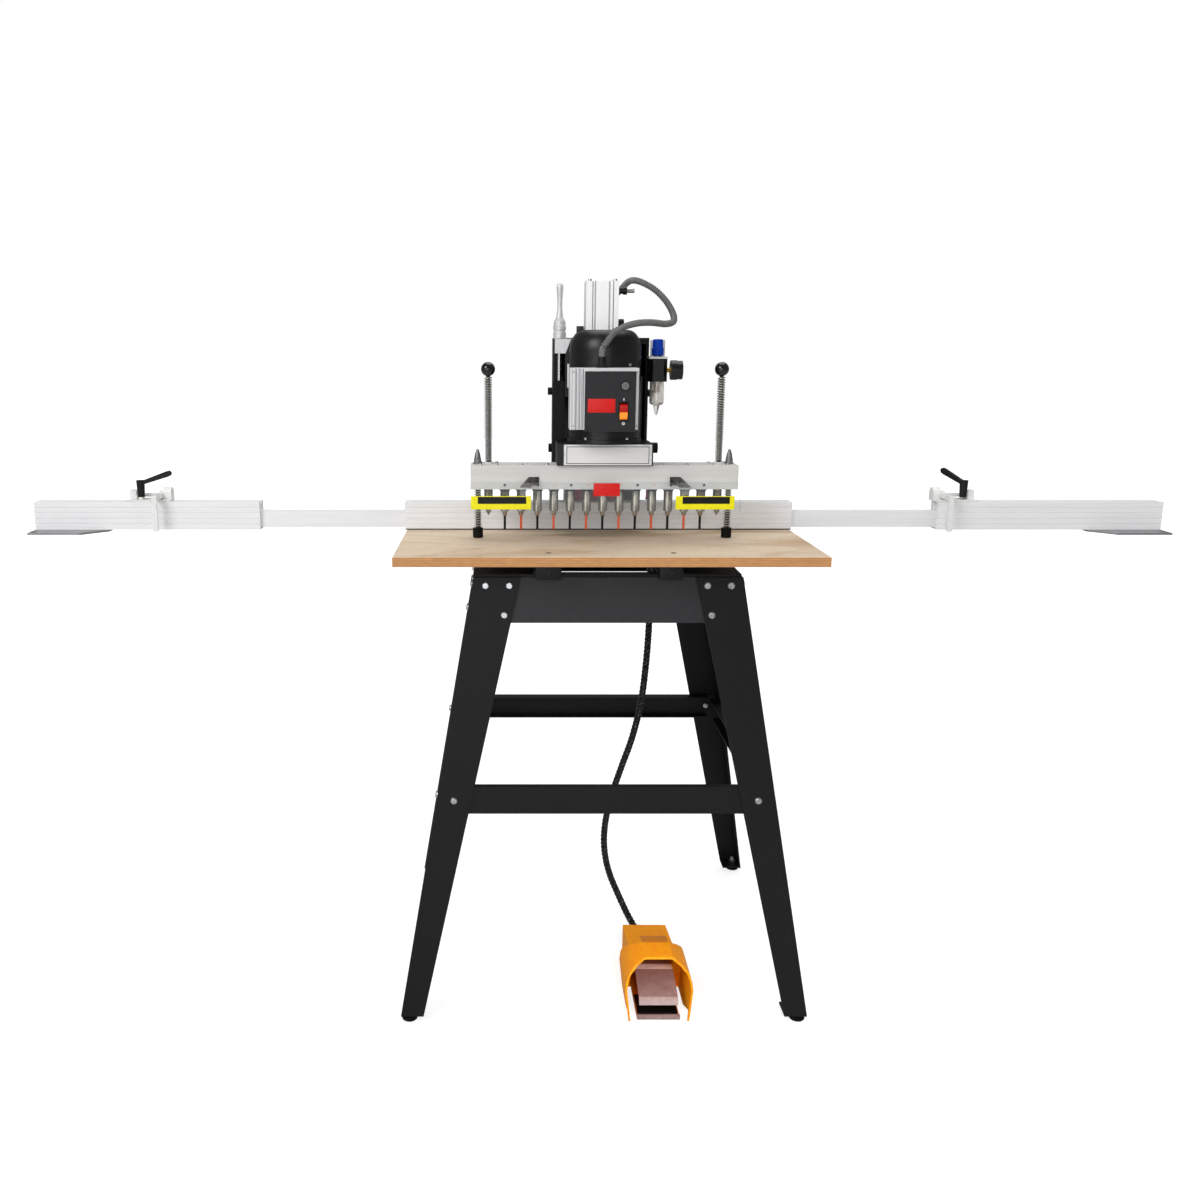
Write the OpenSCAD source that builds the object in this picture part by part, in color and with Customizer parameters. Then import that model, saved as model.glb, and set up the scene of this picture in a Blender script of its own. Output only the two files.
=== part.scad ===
// Line boring machine: thirteen geared spindles on a pneumatic head, over a sliding table with a
// telescopic fence, on a folded steel stand, with a foot pedal. Millimetres, Z up.
// The origin is on the floor in the middle of the stand, and the operator stands at -Y.

/* [Stand] */
// Width of the stand's top frame, outside
stand_top_w = 500; // [460:5:540]
// Depth of the stand's top frame, outside
stand_top_d = 520; // [500:5:540]
// Width between the legs' outer corners at the bottom
stand_foot_w = 786; // [740:5:820]
// Depth between the legs' outer corners at the bottom
stand_foot_d = 692; // [692:4:740]
// Height of the top of the stand's rails
stand_h = 862; // [800:5:900]
// Thickness of the stand's folded sheet
sheet_t = 3; // [2:0.5:4]
// Width of a leg's flange at the top
leg_top_w = 88; // [80:1:96]
// Width of a leg's flange at the bottom
leg_foot_w = 44; // [40:1:50]
// Height of the top rails
rail_h = 85; // [75:1:95]
// Height of the lower braces
brace_h = 52; // [44:1:60]
// Height of the lower braces' bottom edge above the floor
brace_z = 414; // [380:5:450]
// Width of the folded lip along each rail and brace
rail_lip = 20; // [12:1:24]
// Diameter of the levelling feet
foot_d = 30; // [26:1:34]
// Height of the legs' bottom ends above the floor
foot_h = 13; // [12:0.5:16]
// Diameter of the levelling studs
stud_d = 10; // [8:1:12]
// Diameter of the stand bolts' shanks
bolt_d = 8; // [6:1:8]
// Diameter of the stand bolts' round heads
bolt_head_d = 15; // [13:0.5:17]

/* [Table] */
// Width of the table board
table_w = 787; // [740:1:830]
// Depth of the table board
table_d = 362; // [350:1:380]
// Thickness of the table board
table_t = 18; // [15:1:22]
// Distance from the drill line forward to the table's front edge
table_reach = 222; // [205:1:240]
// Thickness of the steel plate on the stand
plate_t = 6; // [5:1:8]
// Height of the slide rails under the table
slide_h = 24.7; // [20:0.1:30]
// Width of each slide rail
slide_w = 48; // [40:1:52]
// Distance between the slide rails' middles
slide_span = 230; // [220:2:250]

/* [Fence] */
// Distance from the drill line back to the fence's face
fence_setback = 97; // [95:1:102]
// Width of the main fence
fence_w = 794; // [760:2:830]
// Height of the fence
fence_h = 57; // [52:1:62]
// Thickness of the fence from front to back
fence_t = 38; // [36:1:40]
// Distance from the middle to the inner end of each outer fence
outer_start = 695; // [670:5:720]
// Length of each outer fence
outer_len = 463; // [440:1:480]
// Height of the slim telescopic bar
bar_h = 34; // [28:1:36]
// Thickness of the slim telescopic bar
bar_t = 20; // [16:1:22]
// Length of bar inside each fence
bar_grip = 100; // [80:5:110]
// Length of the support plate under each outer fence
support_len = 152; // [130:1:170]
// Distance that the support plate stands out in front of the fence
support_out = 44; // [36:1:50]
// Thickness of the support plate
support_t = 4; // [3:0.5:6]

/* [Flip stops] */
// Distance from the left outer fence's inner end out to the left flag's middle
stop_left_in = 206.5; // [185:0.5:235]
// Distance from the right outer fence's inner end out to the right flag's middle
stop_right_in = 16.5; // [13:0.5:45]
// Width of the stop's flag
flag_w = 11; // [9:0.5:12]
// Distance that the flag stands in front of the fence
flag_out = 31; // [24:1:36]
// Length of the clamping lever's arm
lever_len = 65; // [50:1:72]
// Height of the clamping lever's hub
lever_hub_h = 34; // [32:1:38]

/* [Spindles] */
// Distance between neighbouring spindles
pitch = 32; // [32:0.1:32.2]
// Teeth on each spindle gear
gear_teeth = 16; // [16:1:16]
// Thickness of the spindle gears
gear_t = 16; // [12:1:18]
// Gap left in the gears' mesh for backlash
backlash = 0.3; // [0.25:0.01:0.4]
// Diameter of the spindle nose
nose_d = 17.5; // [16:0.5:19]
// Length of the spindle nose below the beam
nose_len = 46.7; // [42:0.1:50]
// Diameter of the shank that holds the bit
shank_d = 10.5; // [9:0.5:12]
// Length of that shank below the nose
shank_len = 8; // [6:0.5:12]
// Diameter of the boring bits
bit_d = 5; // [4:0.5:8]
// Length of the bits below the shank
bit_len = 27; // [22:0.5:35]
// Height of the bits' tips above the table
tip_gap = 17; // [14:0.5:30]
// Diameter of the spindle shaft in its lower bearing
shaft_d = 12; // [11:0.5:13]
// Diameter of the spindle shaft in its upper bearing
journal_d = 10; // [8:0.5:11]

/* [Beam] */
// Width of the gear beam
beam_w = 516; // [510:1:540]
// Depth of the gear beam from front to back
beam_d = 66; // [60:1:72]
// Height of the gear beam
beam_h = 46; // [44:0.5:50]
// Thickness of the beam's top and bottom walls
beam_wall = 10; // [9:0.5:11]
// Distance from the middle to each index pin
index_x = 224; // [224:0.5:226]
// Diameter of the index pins
index_d = 17; // [14:0.5:18]
// Height of the ball handles' middles above the beam
ball_z = 181; // [160:1:200]
// Diameter of the ball handles
ball_d = 27; // [22:1:30]
// Distance from the middle to each hold-down rod
hold_x = 245; // [245:0.5:246]
// Diameter of the hold-downs' rubber feet
hold_foot_d = 20; // [18:1:24]
// Height of the hold-downs' rubber feet
hold_foot_h = 18.7; // [15:0.1:22]
// Diameter of the index and hold-down rods
rod_d = 8; // [6:0.5:8]
// Outer diameter of the index springs
index_spring_d = 15; // [13:0.5:16]
// Outer diameter of the hold-down springs
hold_spring_d = 14; // [12:0.5:15]
// Diameter of the spring wire
wire_d = 1.8; // [1.4:0.1:2]
// Curls of each index spring
index_curls = 26; // [20:1:28]
// Curls of each hold-down spring
hold_curls = 10; // [8:1:12]
// Thickness of the clear guard sheet
guard_t = 3; // [2:0.5:4]
// Height of the clear guard sheet
guard_h = 56; // [50:1:60]
// Distance from the beam's face to the guard sheet
guard_out = 28.5; // [24:0.5:34]

/* [Motor] */
// Diameter of the motor body and its cowl
motor_d = 137; // [134:1:138]
// Width of the motor base
base_w = 184; // [176:1:188]
// Height of the motor base
base_h = 42; // [38:1:48]
// Distance from the drill line to the motor base's front face
base_front = 41; // [36:1:46]
// Distance from the drill line to the motor base's back face
base_back = 54; // [50:1:56]
// Height of the motor body
body_h = 138; // [130:1:146]
// Wall of the motor body
body_wall = 7; // [5:0.5:9]
// Height of the motor cowl
cowl_h = 74; // [66:1:80]
// Wall of the motor cowl
cowl_wall = 2.5; // [2:0.5:4]
// Diameter of the motor shaft
motor_shaft_d = 14; // [12:1:16]
// Diameter of the rotor core
rotor_d = 76; // [66:1:80]

/* [Switch box] */
// Left edge of the switch box, left of the middle
box_left = 72; // [66:1:76]
// Right edge of the switch box, right of the middle
box_right = 54; // [52:1:60]
// Height of the switch box
box_h = 112; // [108:1:120]
// Height of the switch box's bottom above the beam
box_z = 73; // [68:1:76]
// Width of the black cover
cover_w = 93; // [88:1:96]
// Height of the black cover
cover_h = 109; // [102:1:111]
// Depth of the black cover
cover_d = 10; // [8:0.5:14]
// Width of the rocker switch
rocker_w = 14.6; // [12:0.1:16]
// Height of the rocker switch
rocker_h = 31; // [26:1:34]
// Diameter of the push button
button_d = 14; // [12:0.5:16]

/* [Head slide] */
// Stroke of the head
stroke = 60; // [50:1:61]
// Width of the head's case
case_w = 188; // [188:1:194]
// Height of the head's case
case_h = 296; // [296:1:304]
// Wall of the head's case
case_wall = 6; // [5:0.5:7]
// Thickness of the case's top and bottom
case_end = 12; // [10:0.5:14]
// Diameter of the guide rods
guide_d = 20; // [16:1:22]
// Distance between the guide rods
guide_span = 132; // [128:1:136]
// Width of the column's black post
post_w = 130; // [120:1:140]
// Width of the air cylinder's square body
cyl_w = 64; // [60:1:68]
// Height of the air cylinder
cyl_h = 109; // [108:1:120]
// Diameter of the piston rod
piston_rod_d = 16; // [14:1:18]
// Thickness of the piston
piston_t = 18; // [14:1:20]
// Diameter of the depth stop's screw
stop_rod_d = 8; // [6:0.5:10]
// Height of the depth stop's handle
handle_h = 105; // [95:1:115]

/* [Filter] */
// Distance from the middle to the filter's axis
filter_x = 107; // [106:0.5:112]
// Width of the filter's body
filter_w = 36; // [32:1:36]
// Height of the filter's body
filter_h = 44; // [40:1:48]
// Diameter of the pressure knob
reg_knob_d = 23; // [20:1:26]
// Height of the pressure knob
reg_knob_h = 31; // [26:1:36]
// Diameter of the bowl
bowl_d = 28; // [24:1:30]
// Height of the bowl
bowl_h = 45; // [40:1:50]
// Diameter of the pressure gauge
gauge_d = 38; // [34:1:42]
// Radius of the air inlet's bore
inlet_r = 4.2; // [3:0.1:5]

/* [Pedal] */
// Distance from the middle to the pedal's middle
pedal_x = 107; // [100:1:115]
// Distance from the origin forward to the pedal hood's tips
pedal_front = 342; // [330:1:344]
// Length of the whole pedal
pedal_len = 270; // [262:1:276]
// Width of the pedal hood
hood_w = 132; // [126:1:140]
// Height of the pedal hood
hood_h = 120; // [112:1:130]
// Wall of the pedal hood
hood_wall = 4; // [3:0.5:5]
// Width of the pedal's rear box
pedal_box_w = 92; // [88:1:96]
// Width of the treadle
treadle_w = 76; // [70:1:77]
// Diameter of the pedal's pivot pin
pivot_d = 8; // [6:1:10]
// Diameter of the rope of twisted air hoses
hose_d = 15; // [12:1:16]

/* [Clearances] */
// Gap between pieces that are bolted face to face
seat = 0.2; // [0.1:0.05:0.3]
// Gap between pieces that pass each other
gap = 0.3; // [0.3:0.05:0.4]
// Radial clearance of shafts and rods in their bores
fit = 0.05; // [0.02:0.01:0.09]

/* [Hidden] */
$fn = 48;
spindles = 13;
eps = 0.01;

function two_digits(i) = i < 10 ? str("0", i) : str(i);
function spindle_name(i) = str("spindle_", two_digits(i));

// Heights, from the floor up
plate_z = stand_h;
slide_z = plate_z + plate_t;
table_z = slide_z + slide_h + gap;
table_top_z = table_z + table_t;
fence_top_z = table_top_z + fence_h;
nose_z = table_top_z + tip_gap + bit_len + shank_len;
beam_z = nose_z + nose_len + gap;
beam_top_z = beam_z + beam_h;

// The drill line is the row of spindle axes
drill_y = -99;
table_front = drill_y - table_reach;
fence_y = drill_y + fence_setback;

// The stand's faces lean in towards the top
leg_rise = stand_h - foot_h;
lean_depth = atan((stand_foot_d - stand_top_d) / 2 / leg_rise);
lean_width = atan((stand_foot_w - stand_top_w) / 2 / leg_rise);
function face_lean(side) = side % 2 == 0 ? lean_depth : lean_width;
function face_foot(side) = (side % 2 == 0 ? stand_foot_w : stand_foot_d) / 2;
function face_top(side) = (side % 2 == 0 ? stand_top_w : stand_top_d) / 2;
function face_len(side) = leg_rise / cos(face_lean(side));
function corner_u(side, v) = face_foot(side) - (face_foot(side) - face_top(side)) * v / face_len(side);
function slope_v(side, z) = (z - foot_h) / cos(face_lean(side));
rail_inset = sheet_t + seat;
bolt_top_drop = 15;
bolt_low_drop = 70;
bolt_edge = 25;
bolt_seam = 19;
bolt_hole_d = bolt_d + 0.6;
brace_mid = brace_z + brace_h / 2;

// Draws in one leaning face of the stand: 0 front, 1 right, 2 back, 3 left
module on_face(side, inset = 0) {
  rotate([0, 0, 90 * side]) translate([0, -face_foot(side + 1), foot_h])
    rotate([90 - face_lean(side), 0, 0]) translate([0, 0, -inset]) children();
}

// A bolt's place, as distance across the face and distance up it
function bolt_places(side) = [for (hand = [-1, 1], k = [0 : 3])
  let (v = k < 2 ? face_len(side) - bolt_top_drop
    : k == 2 ? face_len(side) - bolt_low_drop : slope_v(side, brace_mid),
    edge = k == 0 ? bolt_edge : k < 3 ? leg_top_w - bolt_seam : leg_foot_w * 0.75)
  [hand * (corner_u(side, v) - edge), v]];

module leg_flange(side, hand) {
  on_face(side) translate([0, 0, -sheet_t]) linear_extrude(sheet_t) difference() {
    polygon([[hand * corner_u(side, 0), 0], [hand * (corner_u(side, 0) - leg_foot_w), 0],
      [hand * (face_top(side) - leg_top_w), face_len(side)], [hand * face_top(side), face_len(side)]]);
    for (p = bolt_places(side)) translate(p) circle(d = bolt_hole_d);
  }
}

foot_plate_t = 4;
foot_in = 16;
foot_plate_w = 43;
foot_x = stand_foot_w / 2 - foot_in;
foot_y = stand_foot_d / 2 - foot_in;

module legs() {
  color("#26272a") for (corner = [0 : 3]) {
    sx = corner == 0 || corner == 3 ? -1 : 1;
    sy = corner < 2 ? -1 : 1;
    union() {
      leg_flange(sy < 0 ? 0 : 2, sy < 0 ? sx : -sx);
      leg_flange(sx > 0 ? 1 : 3, sx > 0 ? sy : -sy);
      difference() {
        translate([sx * (stand_foot_w - 3 - foot_plate_w) / 2, sy * (stand_foot_d - 3 - foot_plate_w) / 2,
          foot_h + 1 + foot_plate_t / 2]) cube([foot_plate_w, foot_plate_w, foot_plate_t], center = true);
        translate([sx * foot_x, sy * foot_y, foot_h]) cylinder(d = stud_d + 0.6, h = 3 * foot_plate_t);
      }
    }
  }
}

// A folded plate between two legs, from height z_low up by height h along the face
module rail(side, v_low, h) {
  end = rail_inset + seat + (side % 2 == 0 ? 0 : rail_inset);
  lip_end = rail_lip + rail_inset;
  on_face(side, rail_inset) {
    translate([0, 0, -sheet_t]) linear_extrude(sheet_t) difference() {
      polygon([for (p = [[-1, 0], [1, 0], [1, 1], [-1, 1]])
        [p[0] * (corner_u(side, v_low + p[1] * h) - end), v_low + p[1] * h]]);
      for (p = bolt_places(side)) translate(p) circle(d = bolt_hole_d);
    }
    half = corner_u(side, v_low + h) - end - lip_end;
    for (v = [v_low, v_low + h - sheet_t]) translate([-half, v, -rail_lip])
      cube([2 * half, sheet_t, rail_lip]);
  }
}

module stand_rails() {
  color("#2a2b2e") for (side = [0 : 3]) {
    rail(side, face_len(side) - rail_h, rail_h + rail_inset * tan(face_lean(side)) - seat);
    rail(side, slope_v(side, brace_z), brace_h);
  }
}

module levelling_feet() {
  nut_h = 8;
  nut_w = 16;
  plate_top = foot_h + 1 + foot_plate_t;
  color("#151515") for (sx = [-1, 1], sy = [-1, 1]) translate([sx * foot_x, sy * foot_y, 0]) union() {
    rotate_extrude() polygon([[0, 0], [foot_d / 2 - 2, 0], [foot_d / 2, 2], [foot_d / 2, 7],
      [foot_d / 2 - 4, 9.5], [foot_d / 2 - 5, foot_h + 1 - gap], [0, foot_h + 1 - gap]]);
    cylinder(d = stud_d, h = plate_top + nut_h + 6);
    translate([0, 0, plate_top + gap]) cylinder(d = nut_w, h = nut_h, $fn = 6);
  }
}

module stand_bolts() {
  grip = rail_inset + sheet_t;
  nut_h = 6;
  head_h = 4;
  color("#c9c9cb") for (side = [0 : 3]) on_face(side) for (p = bolt_places(side)) translate(p) union() {
    rotate_extrude() polygon([[0, 0], [bolt_head_d / 2, 0], [bolt_head_d / 2 - 0.5, head_h * 0.5],
      [bolt_head_d / 2 - 2.5, head_h], [0, head_h]]);
    translate([0, 0, -grip - nut_h - 2]) cylinder(d = bolt_d, h = grip + nut_h + 2 + eps);
    translate([0, 0, -grip - gap - nut_h]) cylinder(d = bolt_d + 5, h = nut_h, $fn = 6);
  }
}

// Plate on the stand, its window, and the rails that the table slides on
frame_margin = rail_inset;
window_front = 25;
window_back = 45;
rail_front = drill_y - 163;
rail_back = 200;
hose_start_x = 114;
hose_start_y = 30;
fitting_h = 20;

module base_frame() {
  color("#1f1f21") {
    difference() {
      translate([-stand_top_w / 2 + frame_margin, -stand_top_d / 2 + frame_margin, plate_z])
        cube([stand_top_w - 2 * frame_margin, stand_top_d - 2 * frame_margin, plate_t]);
      translate([-slide_span / 2 + slide_w / 2 + 3, -stand_top_d / 2 + window_front, plate_z - 1])
        cube([slide_span - slide_w - 6, stand_top_d / 2 - window_front + window_back, plate_t + 2]);
    }
    for (s = [-1, 1]) difference() {
      translate([s * slide_span / 2 - slide_w / 2, rail_front, slide_z])
        cube([slide_w, rail_back - rail_front, slide_h]);
      for (e = [-1, 1]) translate([s * slide_span / 2 + e * (slide_w / 2 + 1), 0, slide_z + slide_h / 2])
        cube([8, 3 * rail_back + abs(rail_front) * 3, slide_h / 3], center = true);
    }
    difference() {
      translate([hose_start_x, hose_start_y, plate_z - fitting_h]) cylinder(d = hose_d + 6, h = fitting_h);
      translate([hose_start_x, hose_start_y, plate_z - fitting_h - 1])
        cylinder(d = hose_d - 5, h = fitting_h / 2);
    }
  }
}

// The case of the head and the column that carries it
case_y = -12;
case_back_y = 95;
case_z = beam_z - 10;
case_top_z = case_z + case_h;
guide_y = 11;
column_y = fence_y + fence_t + 19;
column_depth = 135;
spine_w = 90;
spine_t = 40;
spine_h = 240;
foot_t = 16;
casting_w = 88;
casting_t = 14;
valve_w = 29;

module column() {
  foot_half = slide_span / 2 - slide_w / 2 - 4;
  color("#6b1226") union() {
    translate([-foot_half, column_y, slide_z]) cube([2 * foot_half, column_depth, foot_t]);
    translate([0, column_y + casting_t, slide_z + foot_t]) rotate([90, 0, 0]) linear_extrude(casting_t)
      polygon([[-foot_half, 0], [foot_half, 0], [casting_w / 3, case_z - slide_z - foot_t - seat],
        [-casting_w / 3, case_z - slide_z - foot_t - seat]]);
  }
  post_d = column_depth - casting_t - 40;
  post_h = case_z - slide_z - foot_t;
  color("#202022") difference() {
    translate([-post_w / 2, column_y + casting_t + seat, slide_z + foot_t]) cube([post_w, post_d, post_h]);
    translate([-post_w / 2 + case_wall, column_y + casting_t + seat + case_wall, slide_z + foot_t + 10])
      cube([post_w - 2 * case_wall, post_d - 2 * case_wall, post_h - 20]);
  }
  color("#202022") translate([-spine_w / 2, case_back_y + seat, slide_z + foot_t])
    cube([spine_w, spine_t, post_h + spine_h]);
  color("#202022") translate([post_w / 2, column_y + casting_t + 20, case_z - 90]) cube([valve_w, 40, 90]);
}

// Fixed anvil of the depth stop, in front of the case's left cheek
anvil_x = 97;
anvil_w = 23;
anvil_y = -37;
anvil_d = 20;
anvil_top_z = beam_top_z + 157;
knob_gap = 2;
piston_hole_d = piston_rod_d + 8;

module side_knob(side, z, y, d, len, lobes = 0) {
  translate([side * case_w / 2, y, z]) rotate([0, side * 90, 0]) difference() {
    union() {
      cylinder(d = d * 0.5, h = knob_gap + 1);
      translate([0, 0, knob_gap]) cylinder(d = d, h = len);
    }
    if (lobes > 0) for (a = [0 : lobes - 1]) rotate(a * 360 / lobes) translate([d / 2 + 1, 0, knob_gap - 0.5])
      cylinder(d = d / 4, h = len + 1);
  }
}

module head_housing() {
  inner = case_w / 2 - case_wall;
  color("#232325") union() {
    for (s = [-1, 1]) translate([s > 0 ? inner : -case_w / 2, case_y, case_z])
      cube([case_wall, case_back_y - case_y, case_h]);
    translate([-case_w / 2, case_back_y - case_wall, case_z]) cube([case_w, case_wall, case_h]);
    difference() {
      for (z = [case_z, case_top_z - case_end]) translate([-case_w / 2, case_y, z])
        cube([case_w, case_back_y - case_y, case_end]);
      translate([0, cyl_y, case_top_z - case_end - 1]) cylinder(d = piston_hole_d, h = case_end + 2);
    }
    translate([-case_w / 2, anvil_y, case_z]) cube([case_wall, case_y - anvil_y + 1, anvil_top_z - case_z]);
    translate([-anvil_x, anvil_y, beam_z]) cube([anvil_w, anvil_d, anvil_top_z - beam_z]);
    side_knob(-1, beam_top_z + 135, 20, 15, 9);
    side_knob(-1, beam_top_z + 21, 20, 18, 7);
    side_knob(1, beam_top_z + 131, 20, 15, 9);
    side_knob(1, beam_top_z + 21, 20, 22, 24, 6);
  }
}

module guide_rods() {
  color("#d4d6d8") for (s = [-1, 1]) translate([s * guide_span / 2, guide_y, case_z + case_end])
    cylinder(d = guide_d, h = case_h - 2 * case_end);
}

module table_top() {
  color("#c9a87c") translate([-table_w / 2, table_front, table_z]) cube([table_w, table_d, table_t]);
}

// The fence's ribbed section, drawn across the fence with its face at x = 0
groove = 1.2;
slot_w = 9;
slot_d = 6;
chamber_gap = 0.4;
chamber_z = 4;

module fence_section() {
  difference() {
    square([fence_t, fence_h]);
    for (k = [1 : 4]) translate([-1, k * fence_h / 5 - 0.8]) square([1 + groove, 1.6]);
    translate([fence_t / 2 - slot_w / 2, fence_h - slot_d]) square([slot_w, slot_d + 1]);
    translate([fence_t / 2 - bar_t / 2 - chamber_gap, chamber_z - chamber_gap])
      square([bar_t + 2 * chamber_gap, bar_h + 2 * chamber_gap]);
  }
}

module fence_length(len) {
  rotate([90, 0, 90]) linear_extrude(len) fence_section();
}

module fence() {
  color("#d5d7da") {
    translate([-fence_w / 2, fence_y, table_top_z]) fence_length(fence_w);
    for (s = [-1, 1]) translate([s > 0 ? fence_w / 2 - bar_grip : -outer_start - bar_grip,
      fence_y + fence_t / 2 - bar_t / 2, table_top_z + chamber_z])
      cube([outer_start - fence_w / 2 + 2 * bar_grip, bar_t, bar_h]);
  }
}

module outer_fence() {
  end = outer_start + outer_len;
  color("#dcdee0") translate([outer_start, fence_y, table_top_z]) fence_length(outer_len);
  color("#9a9da1") translate([0, 0, table_top_z - support_t]) {
    linear_extrude(support_t) polygon([[end - support_len, fence_y + fence_t], [end, fence_y + fence_t],
      [end, fence_y - support_out], [end - support_len + support_out, fence_y - support_out],
      [end - support_len, fence_y]]);
    for (k = [0.35, 0.75]) translate([end - support_len * (1 - k), fence_y - support_out / 2, -3])
      cylinder(d = 10, h = 3);
  }
}

module outer_fence_right() { outer_fence(); }
module outer_fence_left() { mirror([1, 0, 0]) outer_fence(); }

// Flip stop, drawn with its flag's middle at x = 0 and the machine on its right
stop_plate_t = 4;
ear_t = 16;
ear_r = 12;
flip_y = fence_y + 31;
flip_z = fence_top_z + gap + 11;
flip_pin_d = 8;
flip_hub_r = 9;
stud_x = -37.5;
stud_y = fence_y + 11;
base_left = -61.5;
base_right = flag_w / 2 + gap + ear_t;

module stop_base() {
  z = fence_top_z + gap;
  color("#e2e3e5") {
    difference() {
      union() {
        translate([base_left, fence_y + 1, z]) cube([base_right - base_left, fence_t - 2, stop_plate_t]);
        translate([base_right - ear_t, 0, 0]) rotate([90, 0, 90]) linear_extrude(ear_t) {
          translate([flip_y - 3, flip_z + 4]) circle(r = ear_r);
          translate([flip_y - 3 - ear_r, z]) square([2 * ear_r, flip_z + 4 - z]);
        }
        translate([base_left, fence_y + 12, z]) cube([14, fence_t - 14, 22]);
      }
      translate([-flag_w / 2 - gap, flip_y - flip_hub_r - 1.5, z - 1])
        cube([flag_w + 2 * gap, fence_t, stop_plate_t + 2]);
    }
    translate([base_left + 6, flip_y, flip_z]) rotate([0, 90, 0])
      cylinder(d = flip_pin_d, h = base_right - base_left - 12);
    translate([-flag_w / 2 - gap - 12, flip_y - 6, z + stop_plate_t])
      cube([12, 10, flip_z - z - stop_plate_t]);
  }
  color("#b9bcc0") translate([stud_x, stud_y, z + stop_plate_t]) cylinder(d = 8, h = lever_hub_h - 4);
  color("#c8a24a") translate([stud_x, stud_y, z + stop_plate_t]) difference() {
    cylinder(d = 14, h = 5, $fn = 6);
    translate([0, 0, -1]) cylinder(r = 4 + fit, h = 7);
  }
}

module stop_lever(turn) {
  z = fence_top_z + gap + stop_plate_t + 5 + gap;
  rise = 20;
  arm_z = z + lever_hub_h - 10;
  color("#1a1a1b") difference() {
    union() {
      translate([stud_x, stud_y, z]) cylinder(d1 = 14, d2 = 17, h = lever_hub_h, $fn = 48);
      translate([stud_x, stud_y, arm_z]) rotate([0, 0, turn]) rotate([90, 0, 0]) translate([0, 0, -4])
        linear_extrude(8) polygon([[3, 0.5], [lever_len - 8, rise - 3], [lever_len - 2, rise],
          [lever_len, rise + 5], [lever_len - 4, rise + 10], [lever_len - 12, rise + 8], [3, 9]]);
    }
    translate([stud_x, stud_y, z - 1]) cylinder(d = 8 + 2 * fit, h = lever_hub_h - 7);
  }
}

module stop_arm() {
  half = flag_w / 2;
  face = fence_y - flag_out;
  color("#f2f2f0") difference() {
    union() {
      translate([-half, flip_y, flip_z]) rotate([0, 90, 0]) cylinder(r = flip_hub_r, h = flag_w);
      rotate([90, 0, 90]) translate([0, 0, -half]) linear_extrude(flag_w)
        polygon([[flip_y, flip_z - 5], [face + 5, flip_z - 5], [face + 5, table_top_z + 2 * gap],
          [face, table_top_z + 2 * gap], [face, flip_z + 5], [flip_y, flip_z + 5]]);
    }
    translate([-half - 1, flip_y, flip_z]) rotate([0, 90, 0])
      cylinder(d = flip_pin_d + 2 * fit, h = flag_w + 2);
  }
}

module at_left_stop() { translate([-outer_start - stop_left_in, 0, 0]) children(); }
module at_right_stop() { translate([outer_start + stop_right_in, 0, 0]) mirror([1, 0, 0]) children(); }
module stop_base_left() { at_left_stop() stop_base(); }
module stop_base_right() { at_right_stop() stop_base(); }
module stop_lever_left() { at_left_stop() stop_lever(0); }
module stop_lever_right() { at_right_stop() stop_lever(67); }
module stop_arm_left() { at_left_stop() stop_arm(); }
module stop_arm_right() { at_right_stop() stop_arm(); }

// Filter regulator on the case's right side
filter_y = -45;
bowl_z = beam_top_z + 111;
filter_z = bowl_z + bowl_h;
bracket_t = 4;
bracket_z = filter_z + filter_h;
gauge_x = filter_x + filter_w / 2 + 8;

module filter_regulator() {
  color("#161617") difference() {
    union() {
      translate([filter_x, filter_y, filter_z]) linear_extrude(filter_h) intersection() {
        square(filter_w, center = true);
        rotate(45) square(filter_w * 1.12, center = true);
      }
      translate([filter_x, filter_y - filter_w / 2 + 1, filter_z + filter_h / 2]) rotate([90, 0, 0])
        cylinder(d = filter_w * 0.55, h = 4);
      translate([filter_x, filter_y, filter_z + filter_h]) cylinder(d = reg_knob_d - 5, h = bracket_t + 2);
      translate([filter_x, filter_y + filter_w / 2 - 1, filter_z + filter_h / 2]) rotate([-90, 0, 0])
        cylinder(r = inlet_r + 4, h = 7);
    }
    translate([filter_x, filter_y, filter_z + filter_h / 2]) rotate([-90, 0, 0])
      cylinder(r = inlet_r, h = filter_w / 2 + 10);
  }
  color("#c9a24a") translate([gauge_x - 8, filter_y, filter_z + filter_h / 2]) rotate([0, 90, 0])
    cylinder(d = 9, h = 8);
  color("#151516") translate([gauge_x, filter_y, filter_z + filter_h / 2]) rotate([0, 90, 0]) difference() {
    union() {
      cylinder(d = gauge_d, h = 12);
      translate([0, 0, 12 - eps]) cylinder(d = gauge_d - 2, h = 9 + eps);
    }
    translate([0, 0, 19]) cylinder(d = gauge_d - 6, h = 3);
  }
  color("#b9bbbe") difference() {
    union() {
      translate([filter_x - filter_w / 2, filter_y - filter_w / 2, bracket_z])
        cube([filter_w, filter_w + 2, bracket_t]);
      translate([case_w / 2 + seat, filter_y, bracket_z]) cube([filter_w / 2, 25 - filter_y, bracket_t]);
      translate([case_w / 2 + seat, filter_y + filter_w / 2 - bracket_t, bracket_z])
        cube([filter_w * 0.8, bracket_t, filter_w]);
    }
    translate([filter_x, filter_y, bracket_z - 1]) cylinder(d = reg_knob_d - 4, h = bracket_t + 2);
  }
}

module filter_bowl() {
  color([0.85, 0.86, 0.84, 0.5]) translate([filter_x, filter_y, bowl_z]) rotate_extrude()
    polygon([[0, -20], [1.8, -20], [6, -3], [6.5, 0], [bowl_d / 2 - 3, 0], [bowl_d / 2, 4],
      [bowl_d / 2, bowl_h - gap], [bowl_d / 2 - 2.5, bowl_h - gap], [bowl_d / 2 - 2.5, 5], [0, 3]]);
}

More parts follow.
